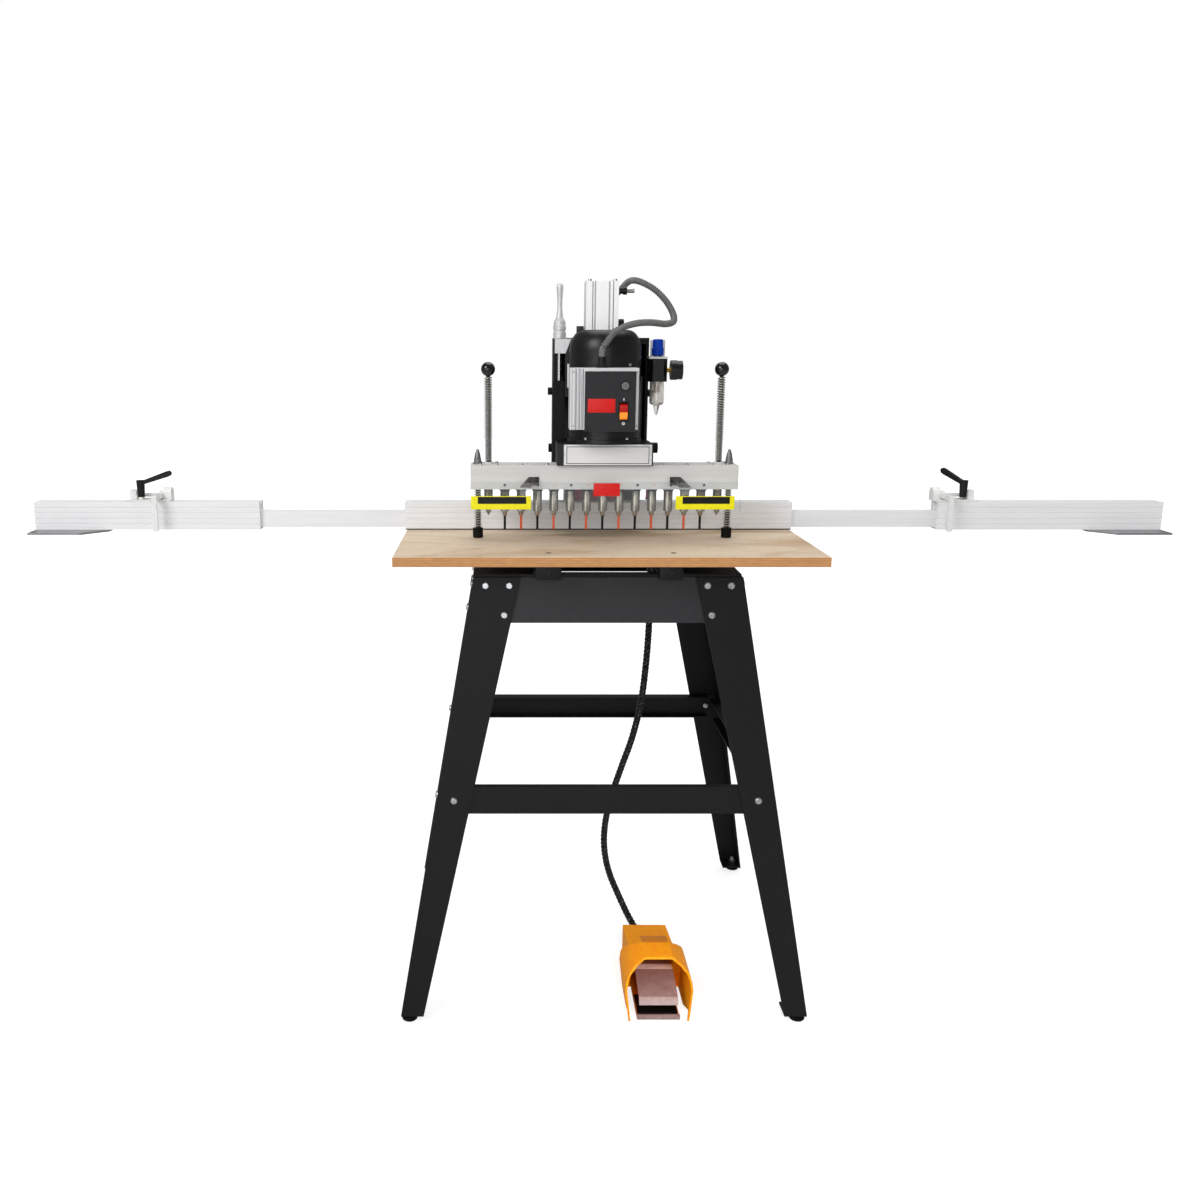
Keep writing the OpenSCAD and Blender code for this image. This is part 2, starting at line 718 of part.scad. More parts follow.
module regulator_knob() {
  r = reg_knob_d / 2;
  color("#1d4fb4") translate([filter_x, filter_y, bracket_z + bracket_t + 2 + gap]) difference() {
    rotate_extrude() polygon([[0, 0], [r, 0], [r, reg_knob_h * 0.45], [r - 1.5, reg_knob_h * 0.5],
      [r - 1.5, reg_knob_h - 2], [r - 3.5, reg_knob_h], [0, reg_knob_h]]);
    for (a = [0 : 11]) rotate(a * 30) translate([r, 0, -1])
      cylinder(d = 1.6, h = reg_knob_h * 0.45, $fn = 24);
  }
}

// Square air cylinder standing on the case, with the piston inside
cyl_y = 21;
cyl_flange_t = 8;
cyl_z = case_top_z;
bore_d = cyl_w - 14;
piston_z = cyl_z + cyl_flange_t + 6;

module air_cylinder() {
  body_z = cyl_z + cyl_flange_t;
  color("#1c1c1e") difference() {
    translate([-cyl_w / 2 - 16, cyl_y - cyl_w / 2, cyl_z]) cube([cyl_w + 32, cyl_w, cyl_flange_t]);
    translate([0, cyl_y, cyl_z - 1]) cylinder(r = piston_rod_d / 2 + fit, h = cyl_flange_t + 2);
  }
  color("#1c1c1e") for (s = [-1, 1]) translate([s * (cyl_w / 2 + 8), cyl_y - cyl_w / 4, body_z])
    cylinder(d = 11, h = 9);
  color("#dfe1e4") translate([0, cyl_y, body_z]) difference() {
    linear_extrude(cyl_h - cyl_flange_t) difference() {
      square(cyl_w, center = true);
      for (a = [0 : 3]) rotate(90 * a) for (u = [-14, 14]) translate([cyl_w / 2, u])
        square([4, 3], center = true);
    }
    translate([0, 0, -1]) cylinder(d = bore_d, h = cyl_h - cyl_flange_t - 5);
  }
  color("#1c1c1e") translate([cyl_w / 2, cyl_y - 16, cyl_z + cyl_h - 18]) rotate([0, 90, 0]) {
    cylinder(d = 13, h = 10);
    translate([0, 0, 10]) cylinder(d = 16, h = 7);
  }
  color("#b9bcc0") translate([cyl_w / 2 + 17, cyl_y - 16, cyl_z + cyl_h - 18]) rotate([0, 90, 0])
    cylinder(d = 9, h = 15);
  color("#232325") translate([gland_x, gland_y, cyl_z]) {
    cylinder(d = 20, h = 8, $fn = 6);
    cylinder(d = conduit_d + 3, h = gland_h);
  }
}

// Moving slide: plate, linear bearings, piston and rod, saddle and the depth stop's bracket
plate_y = -15;
plate_d = 12;
slide_low = beam_z + 30;
slide_top = case_top_z - case_end - stroke - 2;
slide_half = case_w / 2 - case_wall - 6;
bearing_w = 34;
bearing_z = beam_top_z + 20;
bearing_h = 110;
saddle_half = 58;
saddle_top = beam_top_z + 150;
stop_x = -(anvil_x + anvil_x - anvil_w) / 2 + 1;
stop_y = anvil_y + anvil_d / 2;
block_z = beam_top_z + 210;
block_h = 28;
arm_left = -73;
arm_right = -62;

module carriage() {
  color("#1e1e20") difference() {
    union() {
      translate([-slide_half, plate_y, slide_low]) cube([2 * slide_half, plate_d, slide_top - slide_low]);
      for (s = [-1, 1]) translate([s * guide_span / 2 - bearing_w / 2, plate_y + plate_d - 1, bearing_z])
        cube([bearing_w, guide_y - plate_y - plate_d + bearing_w / 2 + 1, bearing_h]);
      translate([-30, plate_y + plate_d - 1, slide_top - 14])
        cube([60, cyl_y + 16 - plate_y - plate_d, 14]);
      translate([-saddle_half, drill_y + base_back + gap, beam_top_z]) cube([2 * saddle_half,
        plate_y - drill_y - base_back - gap + 1, saddle_top - beam_top_z]);
    }
    for (s = [-1, 1]) translate([s * guide_span / 2, guide_y, bearing_z - 1])
      cylinder(r = guide_d / 2 + fit, h = bearing_h + 2);
    translate([0, drill_y, beam_top_z - 1]) cylinder(r = motor_d / 2 + seat, h = saddle_top);
  }
  color("#cfd1d4") {
    translate([0, cyl_y, slide_top]) cylinder(d = piston_rod_d, h = piston_z + piston_t / 2 - slide_top);
    translate([0, cyl_y, piston_z]) difference() {
      cylinder(d = bore_d - 2 * fit, h = piston_t);
      translate([0, 0, -1]) cylinder(d = piston_rod_d, h = piston_t / 2 + 1);
    }
    difference() {
      union() {
        translate([arm_left, anvil_y, slide_top])
          cube([arm_right - arm_left, anvil_d + 2, block_z - slide_top + block_h]);
        translate([arm_left, anvil_y, slide_top - 40])
          cube([arm_right - arm_left, plate_y - anvil_y - seat, 41]);
        translate([stop_x - 9, anvil_y, block_z]) cube([arm_right - stop_x + 9, anvil_d, block_h]);
      }
      translate([stop_x, stop_y, block_z - 1]) cylinder(r = stop_rod_d / 2 + fit, h = block_h + 2);
    }
  }
}

module stop_rod() {
  color("#c4c6c9") translate([stop_x, stop_y, anvil_top_z + gap])
    cylinder(d = stop_rod_d, h = block_z + block_h + 16 - anvil_top_z);
}

module stop_handle() {
  z = block_z + block_h + gap;
  h = handle_h;
  color("#d3d5d7") translate([stop_x, stop_y, z]) rotate_extrude() difference() {
    polygon([[0, 0], [12.5, 0], [12.5, 12], [11, 13], [11, 16], [12.5, 17], [12.5, 24], [11.5, 25],
      [11.5, 32], [10, 35], [7, 40], [5.5, 50], [4.6, h * 0.6], [5.8, h * 0.8], [6.8, h - 8],
      [6, h - 3], [3.5, h], [0, h]]);
    translate([-1, -1]) square([stop_rod_d / 2 + fit + 1, 31]);
  }
}

// Motor
body_z = beam_top_z + base_h;
cowl_z = body_z + body_h;
end_plate_t = 9;
motor_rim = 3;
coupling_z = beam_top_z + 4;

module motor_base() {
  color("#1b1b1d") translate([0, drill_y, beam_top_z]) difference() {
    translate([-base_w / 2, -base_front, 0]) cube([base_w, base_front + base_back, base_h]);
    translate([0, 0, -1]) cylinder(d = 34, h = base_h + 2);
    for (s = [-1, 1]) translate([s * base_w / 2, base_back, base_h / 2]) rotate([0, 0, 45])
      cube([12, 12, base_h + 2], center = true);
  }
}

module motor_body() {
  r = motor_d / 2;
  color("#1c1c1e") translate([0, drill_y, body_z + seat]) difference() {
    union() {
      cylinder(r = r, h = body_h - seat);
      difference() {
        cylinder(r = r + motor_rim, h = end_plate_t);
        translate([-motor_d, base_back, -1]) cube([2 * motor_d, motor_d, end_plate_t + 2]);
      }
    }
    translate([0, 0, end_plate_t]) cylinder(r = r - body_wall, h = body_h - seat - 2 * end_plate_t);
    translate([0, 0, -1]) cylinder(r = motor_shaft_d / 2 + fit, h = body_h + 2);
  }
  color("#8c5a34") translate([0, drill_y, body_z + seat + end_plate_t + 14]) difference() {
    cylinder(r = r - body_wall - seat, h = body_h - 2 * end_plate_t - 28);
    translate([0, 0, -1]) cylinder(d = rotor_d + 2, h = body_h);
  }
}

module cowl_profile(r, h) {
  k = 26;
  polygon(concat([[0, 0], [r, 0], [r, h - k * 1.5]],
    [for (a = [10 : 10 : 90]) [r - k + k * cos(a), h - k * 1.5 + k * 1.5 * sin(a)]], [[0, h]]));
}

module motor_cowl() {
  color("#19191b") translate([0, drill_y, cowl_z]) rotate_extrude() difference() {
    cowl_profile(motor_d / 2, cowl_h);
    translate([0, -eps]) cowl_profile(motor_d / 2 - cowl_wall, cowl_h - cowl_wall);
  }
}

module motor_rotor() {
  color("#a9abae") translate([0, drill_y, 0]) {
    difference() {
      union() {
        translate([0, 0, coupling_z]) cylinder(d = 26, h = 24);
        translate([0, 0, coupling_z + 24 - eps]) cylinder(d = motor_shaft_d, h = cowl_z - coupling_z);
        translate([0, 0, body_z + 25]) cylinder(d = rotor_d, h = body_h - 50);
      }
      translate([0, 0, coupling_z - 1]) cylinder(d = journal_d + 1, h = 16);
    }
    translate([0, 0, cowl_z + 10]) difference() {
      union() {
        cylinder(d = 90, h = 2);
        for (a = [0 : 7]) rotate(a * 45) translate([14, -1, 0]) cube([30, 2, 10]);
        cylinder(d = 26, h = 10);
      }
      translate([0, 0, -1]) cylinder(r = motor_shaft_d / 2, h = 12);
    }
  }
}

// Gear beam and its spindles
gear_r = pitch / 2;
gear_module = pitch / gear_teeth;
tip_r = gear_r + gear_module;
root_r = gear_r - 1.25 * gear_module;
cavity_half = (spindles - 1) / 2 * pitch + tip_r + 1.6;
cavity_h = beam_h - 2 * beam_wall;
flange_h = 4;
function spindle_x(i) = (i - (spindles + 1) / 2) * pitch;

module rod_bores(r) {
  for (s = [-1, 1]) {
    translate([s * index_x, drill_y, beam_z - 1]) cylinder(r = r, h = beam_h + flange_h + 2);
    translate([s * hold_x, drill_y, beam_z - 1]) cylinder(r = r, h = beam_h + 2);
  }
}

module gear_housing() {
  color("#b7b8ba") difference() {
    union() {
      translate([-beam_w / 2, drill_y - beam_d / 2, beam_z]) cube([beam_w, beam_d, beam_h]);
      for (s = [-1, 1]) translate([s * index_x, drill_y, beam_top_z])
        cylinder(d = index_spring_d + 5, h = flange_h);
    }
    translate([-cavity_half, drill_y - tip_r - 1.6, beam_z + beam_wall])
      cube([2 * cavity_half, 2 * tip_r + 3.2, cavity_h]);
    for (i = [1 : spindles]) translate([spindle_x(i), drill_y, 0]) {
      translate([0, 0, beam_z - 1]) cylinder(r = shaft_d / 2 + fit, h = beam_wall + 2);
      translate([0, 0, beam_z + beam_wall + cavity_h - 1]) cylinder(r = journal_d / 2 + fit,
        h = spindle_x(i) == 0 ? beam_wall + 2 : beam_wall - 3);
    }
    rod_bores(rod_d / 2 + fit);
    for (s = [-1, 1]) translate([s * index_x, drill_y, beam_z - 1])
      cylinder(r = index_d / 2 + fit, h = beam_h - beam_wall + 1);
  }
}

// Involute tooth flank: half the tooth's angle at radius r
base_r = gear_r * cos(20);
function inv(a) = tan(a) * 180 / PI - a;
function tooth_half(r) = 90 / gear_teeth + inv(20) - (r > base_r ? inv(acos(base_r / r)) : 0)
  - backlash / 2 / gear_r * 180 / PI;
flank = [root_r, base_r + 0.05, gear_r, (gear_r + tip_r) / 2, tip_r];

module gear(turn) {
  linear_extrude(gear_t) difference() {
    polygon([for (t = [0 : gear_teeth - 1], k = [0 : 9])
      let (r = k < 5 ? flank[k] : flank[9 - k], side = k < 5 ? -1 : 1,
        a = turn + t * 360 / gear_teeth + side * tooth_half(r)) [r * cos(a), r * sin(a)]]);
    circle(d = shaft_d + 2, $fn = 6);
  }
}

module spindle(i) {
  gear_z = beam_z + beam_wall + (cavity_h - gear_t) / 2;
  top_h = spindle_x(i) == 0 ? beam_wall + coupling_z - beam_top_z + 12 : beam_wall - 5;
  orange = i % 2 == 0;
  translate([spindle_x(i), drill_y, 0]) {
    color("#8f9092") translate([0, 0, gear_z]) gear(orange ? 180 / gear_teeth : 0);
    color("#c8c6c2") union() {
      translate([0, 0, nose_z]) rotate_extrude() polygon([[0, 0], [nose_d / 2 - 1.5, 0], [nose_d / 2, 1.5],
        [nose_d / 2, nose_len], [0, nose_len]]);
      translate([0, 0, nose_z - shank_len]) cylinder(d1 = shank_d - 2, d2 = shank_d, h = shank_len + 1);
      translate([0, 0, nose_z]) cylinder(d = shaft_d, h = beam_z + beam_wall + 1 - nose_z);
      translate([0, 0, beam_z + beam_wall + 1]) cylinder(d = shaft_d + 1.8, h = cavity_h - 2, $fn = 6);
      translate([0, 0, beam_z + beam_wall + 1]) cylinder(d = journal_d, h = cavity_h - 1 + top_h);
    }
    color(orange ? "#e2612b" : "#1a1a1a") translate([0, 0, nose_z - shank_len - bit_len]) difference() {
      union() {
        cylinder(d = bit_d, h = bit_len);
        cylinder(d1 = 0.6, d2 = bit_d, h = 1);
      }
      for (s = [-1, 1]) translate([s * (bit_d / 2 + 0.3), 0, -1])
        cylinder(d = bit_d * 0.45, h = bit_len * 0.75);
    }
  }
}

// Index pins, hold-downs and their springs
index_tip_z = beam_z - 54;
index_body_h = beam_z + beam_h - beam_wall - gap - index_tip_z;
hold_tail = 28;

module index_pin(s) {
  translate([s * index_x, drill_y, 0]) {
    color("#b4b2ae") union() {
      translate([0, 0, index_tip_z]) rotate_extrude() polygon([[0, 0], [1, 0], [index_d / 2, 14],
        [index_d / 2, index_body_h], [0, index_body_h]]);
      translate([0, 0, index_tip_z + index_body_h - 1]) cylinder(d = rod_d,
        h = beam_top_z + ball_z - index_tip_z - index_body_h + 1);
    }
    color("#131314") difference() {
      translate([0, 0, beam_top_z + ball_z]) sphere(d = ball_d);
      translate([0, 0, beam_top_z]) cylinder(d = rod_d, h = ball_z);
    }
  }
}

module hold_down(s) {
  foot_z = table_top_z + gap;
  translate([s * hold_x, drill_y, 0]) {
    color("#b9bbbe") translate([0, 0, foot_z + hold_foot_h - 8])
      cylinder(d = rod_d, h = beam_top_z + hold_tail - foot_z - hold_foot_h + 8 - 6);
    color("#b9bbbe") translate([0, 0, beam_top_z + gap]) difference() {
      union() {
        cylinder(d = 13.5, h = 9, $fn = 6);
        translate([0, 0, 9]) cylinder(d1 = 12, d2 = 5, h = hold_tail - 9);
      }
      translate([0, 0, -1]) cylinder(d = rod_d, h = hold_tail - 5 - gap);
    }
    color("#1a1a1b") translate([0, 0, foot_z]) difference() {
      rotate_extrude() polygon([[0, 0], [hold_foot_d / 2 - 1, 0], [hold_foot_d / 2, 1],
        [hold_foot_d / 2, hold_foot_h], [0, hold_foot_h]]);
      translate([0, 0, hold_foot_h - 8]) cylinder(d = rod_d, h = 9);
    }
  }
}

// Faces of a tube of rings, each with the same sides, closed at both ends
function tube_faces(rings, sides) = concat(
  [[for (k = [sides - 1 : -1 : 0]) k]],
  [for (j = [0 : rings - 2], k = [0 : sides - 1], half = [0, 1])
    let (a = j * sides + k, b = j * sides + (k + 1) % sides)
    half == 0 ? [a, b, b + sides] : [a, b + sides, a + sides]],
  [[for (k = [0 : sides - 1]) (rings - 1) * sides + k]]);

curl_rings = 6;
curl_sides = 6;

// A coil spring's wire, wound about Z from height 0, with flat part-curls at its ends
module spring(d, h, curls) {
  r = (d - wire_d) / 2;
  rings = curls * curl_rings + 1;
  rise = h - wire_d - 2 * gap;
  function height(t) = gap + wire_d / 2 + rise * t;
  points = [for (j = [0 : rings - 1], k = [0 : curl_sides - 1])
    let (t = j / (rings - 1), a = 360 * curls * t, b = 360 * k / curl_sides,
      q = r + wire_d / 2 * cos(b))
    [q * cos(a), q * sin(a), height(t) + wire_d / 2 * sin(b)]];
  echo(spring_least_gap_mm = rise / curls - wire_d);
  polyhedron(points, tube_faces(rings, curl_sides));
}

module index_springs() {
  color("#b3b1ad") for (s = [-1, 1]) translate([s * index_x, drill_y, beam_top_z + flange_h])
    spring(index_spring_d, ball_z - ball_d / 2 - flange_h, index_curls);
}

module hold_down_springs() {
  foot_top = table_top_z + gap + hold_foot_h;
  color("#b3b1ad") for (s = [-1, 1]) translate([s * hold_x, drill_y, foot_top])
    spring(hold_spring_d, beam_z - foot_top, hold_curls);
}

// Clear guard on two slanted tabs
guard_face = drill_y - beam_d / 2 - guard_out;
guard_z = beam_z - 40;
tab_t = 2.5;
tab_in = 146;
tab_out = 162.5;
tab_w = 20;
tab_drop = 16;

module guard() {
  color([0.85, 0.9, 0.92, 0.3]) translate([-beam_w / 2, guard_face - guard_t, guard_z])
    cube([beam_w, guard_t, guard_h]);
}

module guard_brackets() {
  run = guard_out - tab_t;
  beam_face = drill_y - beam_d / 2;
  tab_z = guard_z + guard_h + 8;
  slope = atan(tab_drop / run);
  color("#3c3d3f") for (s = [-1, 1]) union() {
    translate([0, beam_face - tab_t, tab_z]) rotate([slope, 0, 0]) translate([0, 0, -tab_t])
      linear_extrude(tab_t) difference() {
        polygon([[s * tab_in, 0], [s * (tab_in - tab_w), 0], [s * (tab_out - tab_w), -run / cos(slope)],
          [s * tab_out, -run / cos(slope)]]);
        translate([s * (tab_in + tab_out - tab_w) / 2, -run / 2 / cos(slope)]) circle(d = 7);
      }
    translate([s > 0 ? tab_in - tab_w : -tab_in, beam_face - tab_t - seat, tab_z - 16])
      cube([tab_w, tab_t, 16]);
    translate([s > 0 ? tab_out - tab_w : -tab_out, guard_face + seat, tab_z - tab_drop - 16])
      cube([tab_w, tab_t, 16]);
  }
}

// Switch box on the front of the motor
box_front = drill_y - motor_d / 2 - 36;
box_bottom = beam_top_z + box_z;
cover_x = -45;
switch_x = 26;
switch_z = box_bottom + 34;
button_x = 28;
button_z = box_bottom + 80;
gland_h = 20;

module switch_box() {
  depth = drill_y - 52 - box_front;
  inner_d = 26;
  color("#c9cbce") difference() {
    translate([-box_left, box_front, box_bottom]) cube([box_left + box_right, depth, box_h]);
    translate([0, drill_y, box_bottom - 1]) cylinder(r = motor_d / 2 + seat, h = box_h + 2);
    translate([cover_x + 4, box_front - 1, box_bottom + 6]) cube([cover_w - 8, inner_d + 1, box_h - 12]);
    for (k = [0 : 3]) translate([-box_left + 3 + k * 6, box_front - 1, box_bottom - 1])
      cube([2.4, 3, box_h + 2]);
    translate([conduit_x, conduit_y, box_bottom + box_h - 8]) cylinder(d = 9, h = 10);
  }
  color("#1c1c1e") translate([conduit_x, conduit_y, box_bottom + box_h]) difference() {
    union() {
      cylinder(d = conduit_d + 6, h = 7, $fn = 6);
      cylinder(d = conduit_d + 2, h = gland_h);
    }
    translate([0, 0, -1]) cylinder(d = 9, h = gland_h + 2);
  }
}

module switch_cover() {
  color("#1d1d1f") translate([cover_x, box_front - cover_d - seat, box_bottom - 3]) difference() {
    cube([cover_w, cover_d, cover_h]);
    translate([2.5, 2.5, 2.5]) cube([cover_w - 5, cover_d, cover_h - 5]);
    translate([switch_x - cover_x - rocker_w / 2 - gap, -1, switch_z - box_bottom + 3 - rocker_h / 2 - gap])
      cube([rocker_w + 2 * gap, cover_d, rocker_h + 2 * gap]);
    translate([button_x - cover_x, -1, button_z - box_bottom + 3]) rotate([-90, 0, 0])
      cylinder(d = button_d + 2 * gap, h = cover_d);
  }
}

rocker_axis_y = box_front - cover_d + 9;

module rocker_switch() {
  r = rocker_h / 2;
  color("#d22a1c") translate([switch_x - rocker_w / 2, rocker_axis_y, switch_z]) rotate([90, 0, 90])
    linear_extrude(rocker_w) intersection() {
      circle(r = r);
      rotate(8) polygon([[6, -r], [6, r], [-9, r], [-12, 0], [-9, -r]]);
    }
}

module push_button() {
  color("#2a2a2c") translate([button_x, box_front - cover_d - seat - 4, button_z]) rotate([-90, 0, 0])
    cylinder(d = button_d, h = 15);
}

// Corrugated conduit from the switch box to the gland on the case. It flexes as the head moves.
conduit_d = 13;
conduit_x = -13;
conduit_y = box_front + 16;
gland_x = 8;
gland_y = 84;
conduit_bore = 4.6;
conduit_start_z = box_bottom + box_h + gland_h + gap;
conduit_end_z = cyl_z + gland_h + gap;
conduit_points = [
  [conduit_x, conduit_y, conduit_start_z], [conduit_x, conduit_y, conduit_start_z + 13],
  [-4, -186, 1288], [10, -176, 1305], [32, -163, 1316], [58, -147, 1322], [86, -127, 1323], [112, -106, 1321],
  [129, -87, 1325], [133, -68, 1336], [128, -50, 1353], [117, -34, 1371], [101, -18, 1388], [83, -2, 1400],
  [67, 16, 1407], [56, 38, 1406], [46, 60, 1396], [32, 76, 1378], [18, 83, 1356],
  [gland_x, gland_y, conduit_end_z + 13], [gland_x, gland_y, conduit_end_z]];
rib_count = 80;
rib_sides = 8;
rib_low = conduit_d / 2 - 0.9;

// Catmull-Rom curve through the points, at parameter t from 0 to 1
function curve_at(p, t) =
  let (n = len(p) - 1, s = min(t * n, n - eps / 100), i = floor(s), f = s - i,
    a = p[max(i - 1, 0)], b = p[i], c = p[i + 1], d = p[min(i + 2, n)])
  (2 * b + (c - a) * f + (2 * a - 5 * b + 4 * c - d) * f * f + (3 * b - a - 3 * c + d) * f * f * f) / 2;
function unit(v) = v / norm(v);
function curve_dir(p, t) = let (h = 0.002) unit(curve_at(p, min(t + h, 1)) - curve_at(p, max(t - h, 0)));

// A frame carried along the curve without twist: each step turns the last side vector to the new direction
function carried(p, ts, side, i, out) = i == len(ts) ? out
  : let (d = curve_dir(p, ts[i]), s = unit(side - d * (side * d)))
    carried(p, ts, s, i + 1, concat(out, [[curve_at(p, ts[i]), s, cross(d, s)]]));

function rings_along(p, ts, radii, sides, side) =
  let (frames = carried(p, ts, side, 0, []))
  [for (i = [0 : len(ts) - 1], k = [0 : sides - 1])
    let (f = frames[i], a = 360 * k / sides) f[0] + radii[i] * (f[1] * cos(a) + f[2] * sin(a))];

module conduit() {
  n = 2 * rib_count;
  outer_t = [for (i = [0 : n]) i / n];
  outer_r = [for (i = [0 : n]) i % 2 == 0 ? rib_low : conduit_d / 2];
  m = rib_count / 2;
  inner_t = [for (i = [0 : m]) i / m];
  inner_r = [for (i = [0 : m]) conduit_bore];
  side = [0, 1, 0];
  outer = rings_along(conduit_points, outer_t, outer_r, rib_sides, side);
  inner = rings_along(conduit_points, inner_t, inner_r, rib_sides, side);
  base = len(outer);
  color("#77787a") polyhedron(concat(outer, inner), concat(
    [for (j = [0 : n - 1], k = [0 : rib_sides - 1], half = [0, 1])
      let (a = j * rib_sides + k, b = j * rib_sides + (k + 1) % rib_sides)
      half == 0 ? [a, b, b + rib_sides] : [a, b + rib_sides, a + rib_sides]],
    [for (j = [0 : m - 1], k = [0 : rib_sides - 1], half = [0, 1])
      let (a = base + j * rib_sides + k, b = base + j * rib_sides + (k + 1) % rib_sides)
      half == 0 ? [b, a, b + rib_sides] : [b + rib_sides, a, a + rib_sides]],
    [for (k = [0 : rib_sides - 1], half = [0, 1])
      let (b = (k + 1) % rib_sides) half == 0 ? [b, k, base + k] : [b, base + k, base + b]],
    [for (k = [0 : rib_sides - 1], half = [0, 1])
      let (b = (k + 1) % rib_sides, o = n * rib_sides, i = base + m * rib_sides)
      half == 0 ? [o + k, o + b, i + k] : [o + b, i + b, i + k]]));
}

// Twisted pair of air hoses from the plate's fitting to the pedal
port_y = pedal_len - pedal_front;
port_z = 22;
hose_points = [
  [hose_start_x, hose_start_y, plate_z - fitting_h], [114, 30, 800], [114, 30, 760], [114, 30, 706],
  [110, 30, 620], [101, 30, 530], [84, 30, 450], [63, 30, 385], [43, 30, 320], [31, 30, 265], [27, 30, 215],
  [31, 30, 170], [41, 30, 130], [54, 29, 97], [68, 24, 66], [81, 12, 41], [92, -6, 26], [100, -27, 20],
  [105, -45, 20], [pedal_x, port_y + gap + 13, port_z], [pedal_x, port_y + gap, port_z]];
hose_rings = 60;
hose_sides = 10;

module pedal_hose() {
  ts = [for (i = [0 : hose_rings - 1]) i / (hose_rings - 1)];
  radii = [for (t = ts) hose_d / 2];
  color("#101011") polyhedron(rings_along(hose_points, ts, radii, hose_sides, [0, 1, 0]),
    tube_faces(hose_rings, hose_sides));
}

// Foot pedal, drawn from its tips at pedal_front to its back
pedal_back = port_y;
pivot_y = pedal_back - 62;
pivot_z = 34;
pedal_plate_t = 4;

module pedal_base() {
  half = pedal_box_w / 2 - hood_wall - gap;
  color("#6c6466") difference() {
    translate([pedal_x - half, 0, 0]) rotate([90, 0, 90]) linear_extrude(2 * half)
      polygon([[6 - pedal_front, 0], [pedal_back - hood_wall - gap, 0],
        [pedal_back - hood_wall - gap, pedal_plate_t], [10 - pedal_front, pedal_plate_t],
        [10 - pedal_front, 10], [6 - pedal_front, 10]]);
    for (s = [-1, 1]) translate([pedal_x + s * 25, pivot_y, -1]) cylinder(d = 6.5, h = pedal_plate_t + 2);
  }
  color("#3a3a3c") {
    for (s = [-1, 1]) difference() {
      translate([pedal_x + s * (treadle_w / 2 + gap + 1.5) - 1.5, pivot_y - 9, pedal_plate_t])
        cube([3, 18, pivot_z - pedal_plate_t + 8]);
      translate([pedal_x - pedal_box_w / 2, pivot_y, pivot_z]) rotate([0, 90, 0])
        cylinder(d = pivot_d, h = pedal_box_w);
    }
    translate([pedal_x - treadle_w / 2 - gap - 3, pivot_y, pivot_z]) rotate([0, 90, 0])
      cylinder(d = pivot_d, h = treadle_w + 2 * gap + 6);
    translate([pedal_x - 16, pivot_y + 12, pedal_plate_t])
      cube([32, pedal_back - hood_wall - gap - pivot_y - 12, 32]);
  }
}

// The hood: an arch in front, a lower box behind, one moulding
module pedal_hood() {
  half = hood_w / 2;
  box_half = pedal_box_w / 2;
  w = hood_wall;
  mouth = -pedal_front;
  arch_back = mouth + 128;
  corner = 9;
  color("#f08c18") difference() {
    union() {
      intersection() {
        translate([pedal_x, arch_back, 0]) rotate([90, 0, 0]) linear_extrude(128)
          polygon([[-half + 7, 0], [half - 7, 0], [half, 62], [half - 2, 78], [half - 9, 96], [half - 20, 108],
            [half - 38, hood_h], [38 - half, hood_h], [20 - half, 108], [9 - half, 96], [2 - half, 78],
            [-half, 62]]);
        translate([pedal_x - half, 0, 0]) rotate([90, 0, 90]) linear_extrude(hood_w)
          polygon([[mouth, 0], [mouth + 2, 30], [mouth + 6, 66], [mouth + 15, 98], [mouth + 31, hood_h],
            [arch_back - 40, hood_h], [arch_back, 84], [arch_back, 0], [mouth + 60, 0], [mouth + 9, 19],
            [mouth + 4, 0]]);
      }
      intersection() {
        translate([pedal_x - box_half, 0, 0]) rotate([90, 0, 90]) linear_extrude(2 * box_half)
          polygon([[arch_back - 40, 0], [pedal_back, 0], [pedal_back, 54], [pedal_back - 7, 64],
            [arch_back + 4, 82], [arch_back - 40, 90]]);
        translate([pedal_x, 0, -1]) linear_extrude(hood_h) union() {
          translate([-box_half, arch_back - 41]) square([2 * box_half, pedal_len - 128 + 41 - corner]);
          translate([corner - box_half, arch_back]) square([2 * (box_half - corner), pedal_len - 128]);
          for (s = [-1, 1]) translate([s * (box_half - corner), pedal_back - corner]) circle(r = corner);
        }
      }
    }
    intersection() {
      translate([pedal_x, arch_back - w, 0]) rotate([90, 0, 0]) linear_extrude(130)
        polygon([[-half + 7 + w, -1], [half - 7 - w, -1], [half - w, 62], [half - 2 - w, 77],
          [half - 8 - w, 93], [half - 22, 104], [half - 39, hood_h - w], [39 - half, hood_h - w],
          [22 - half, 104], [8 + w - half, 93], [2 + w - half, 77], [w - half, 62]]);
      translate([pedal_x - half, 0, 0]) rotate([90, 0, 90]) linear_extrude(hood_w)
        polygon([[mouth - 5, -1], [mouth - 5, hood_h], [arch_back - 43 - w, hood_h],
          [arch_back - 43, hood_h - w], [arch_back - w, 82], [arch_back - w, -1]]);
    }
    translate([pedal_x - box_half + w, 0, 0]) rotate([90, 0, 90]) linear_extrude(2 * box_half - 2 * w)
      polygon([[mouth, -1], [pedal_back - w, -1], [pedal_back - w, 51], [pedal_back - 9, 59],
        [arch_back + 3, 77], [mouth, 77]]);
    translate([pedal_x, pedal_back - 2 * w, port_z]) rotate([-90, 0, 0]) cylinder(d = hose_d - 6, h = 3 * w);
  }
}

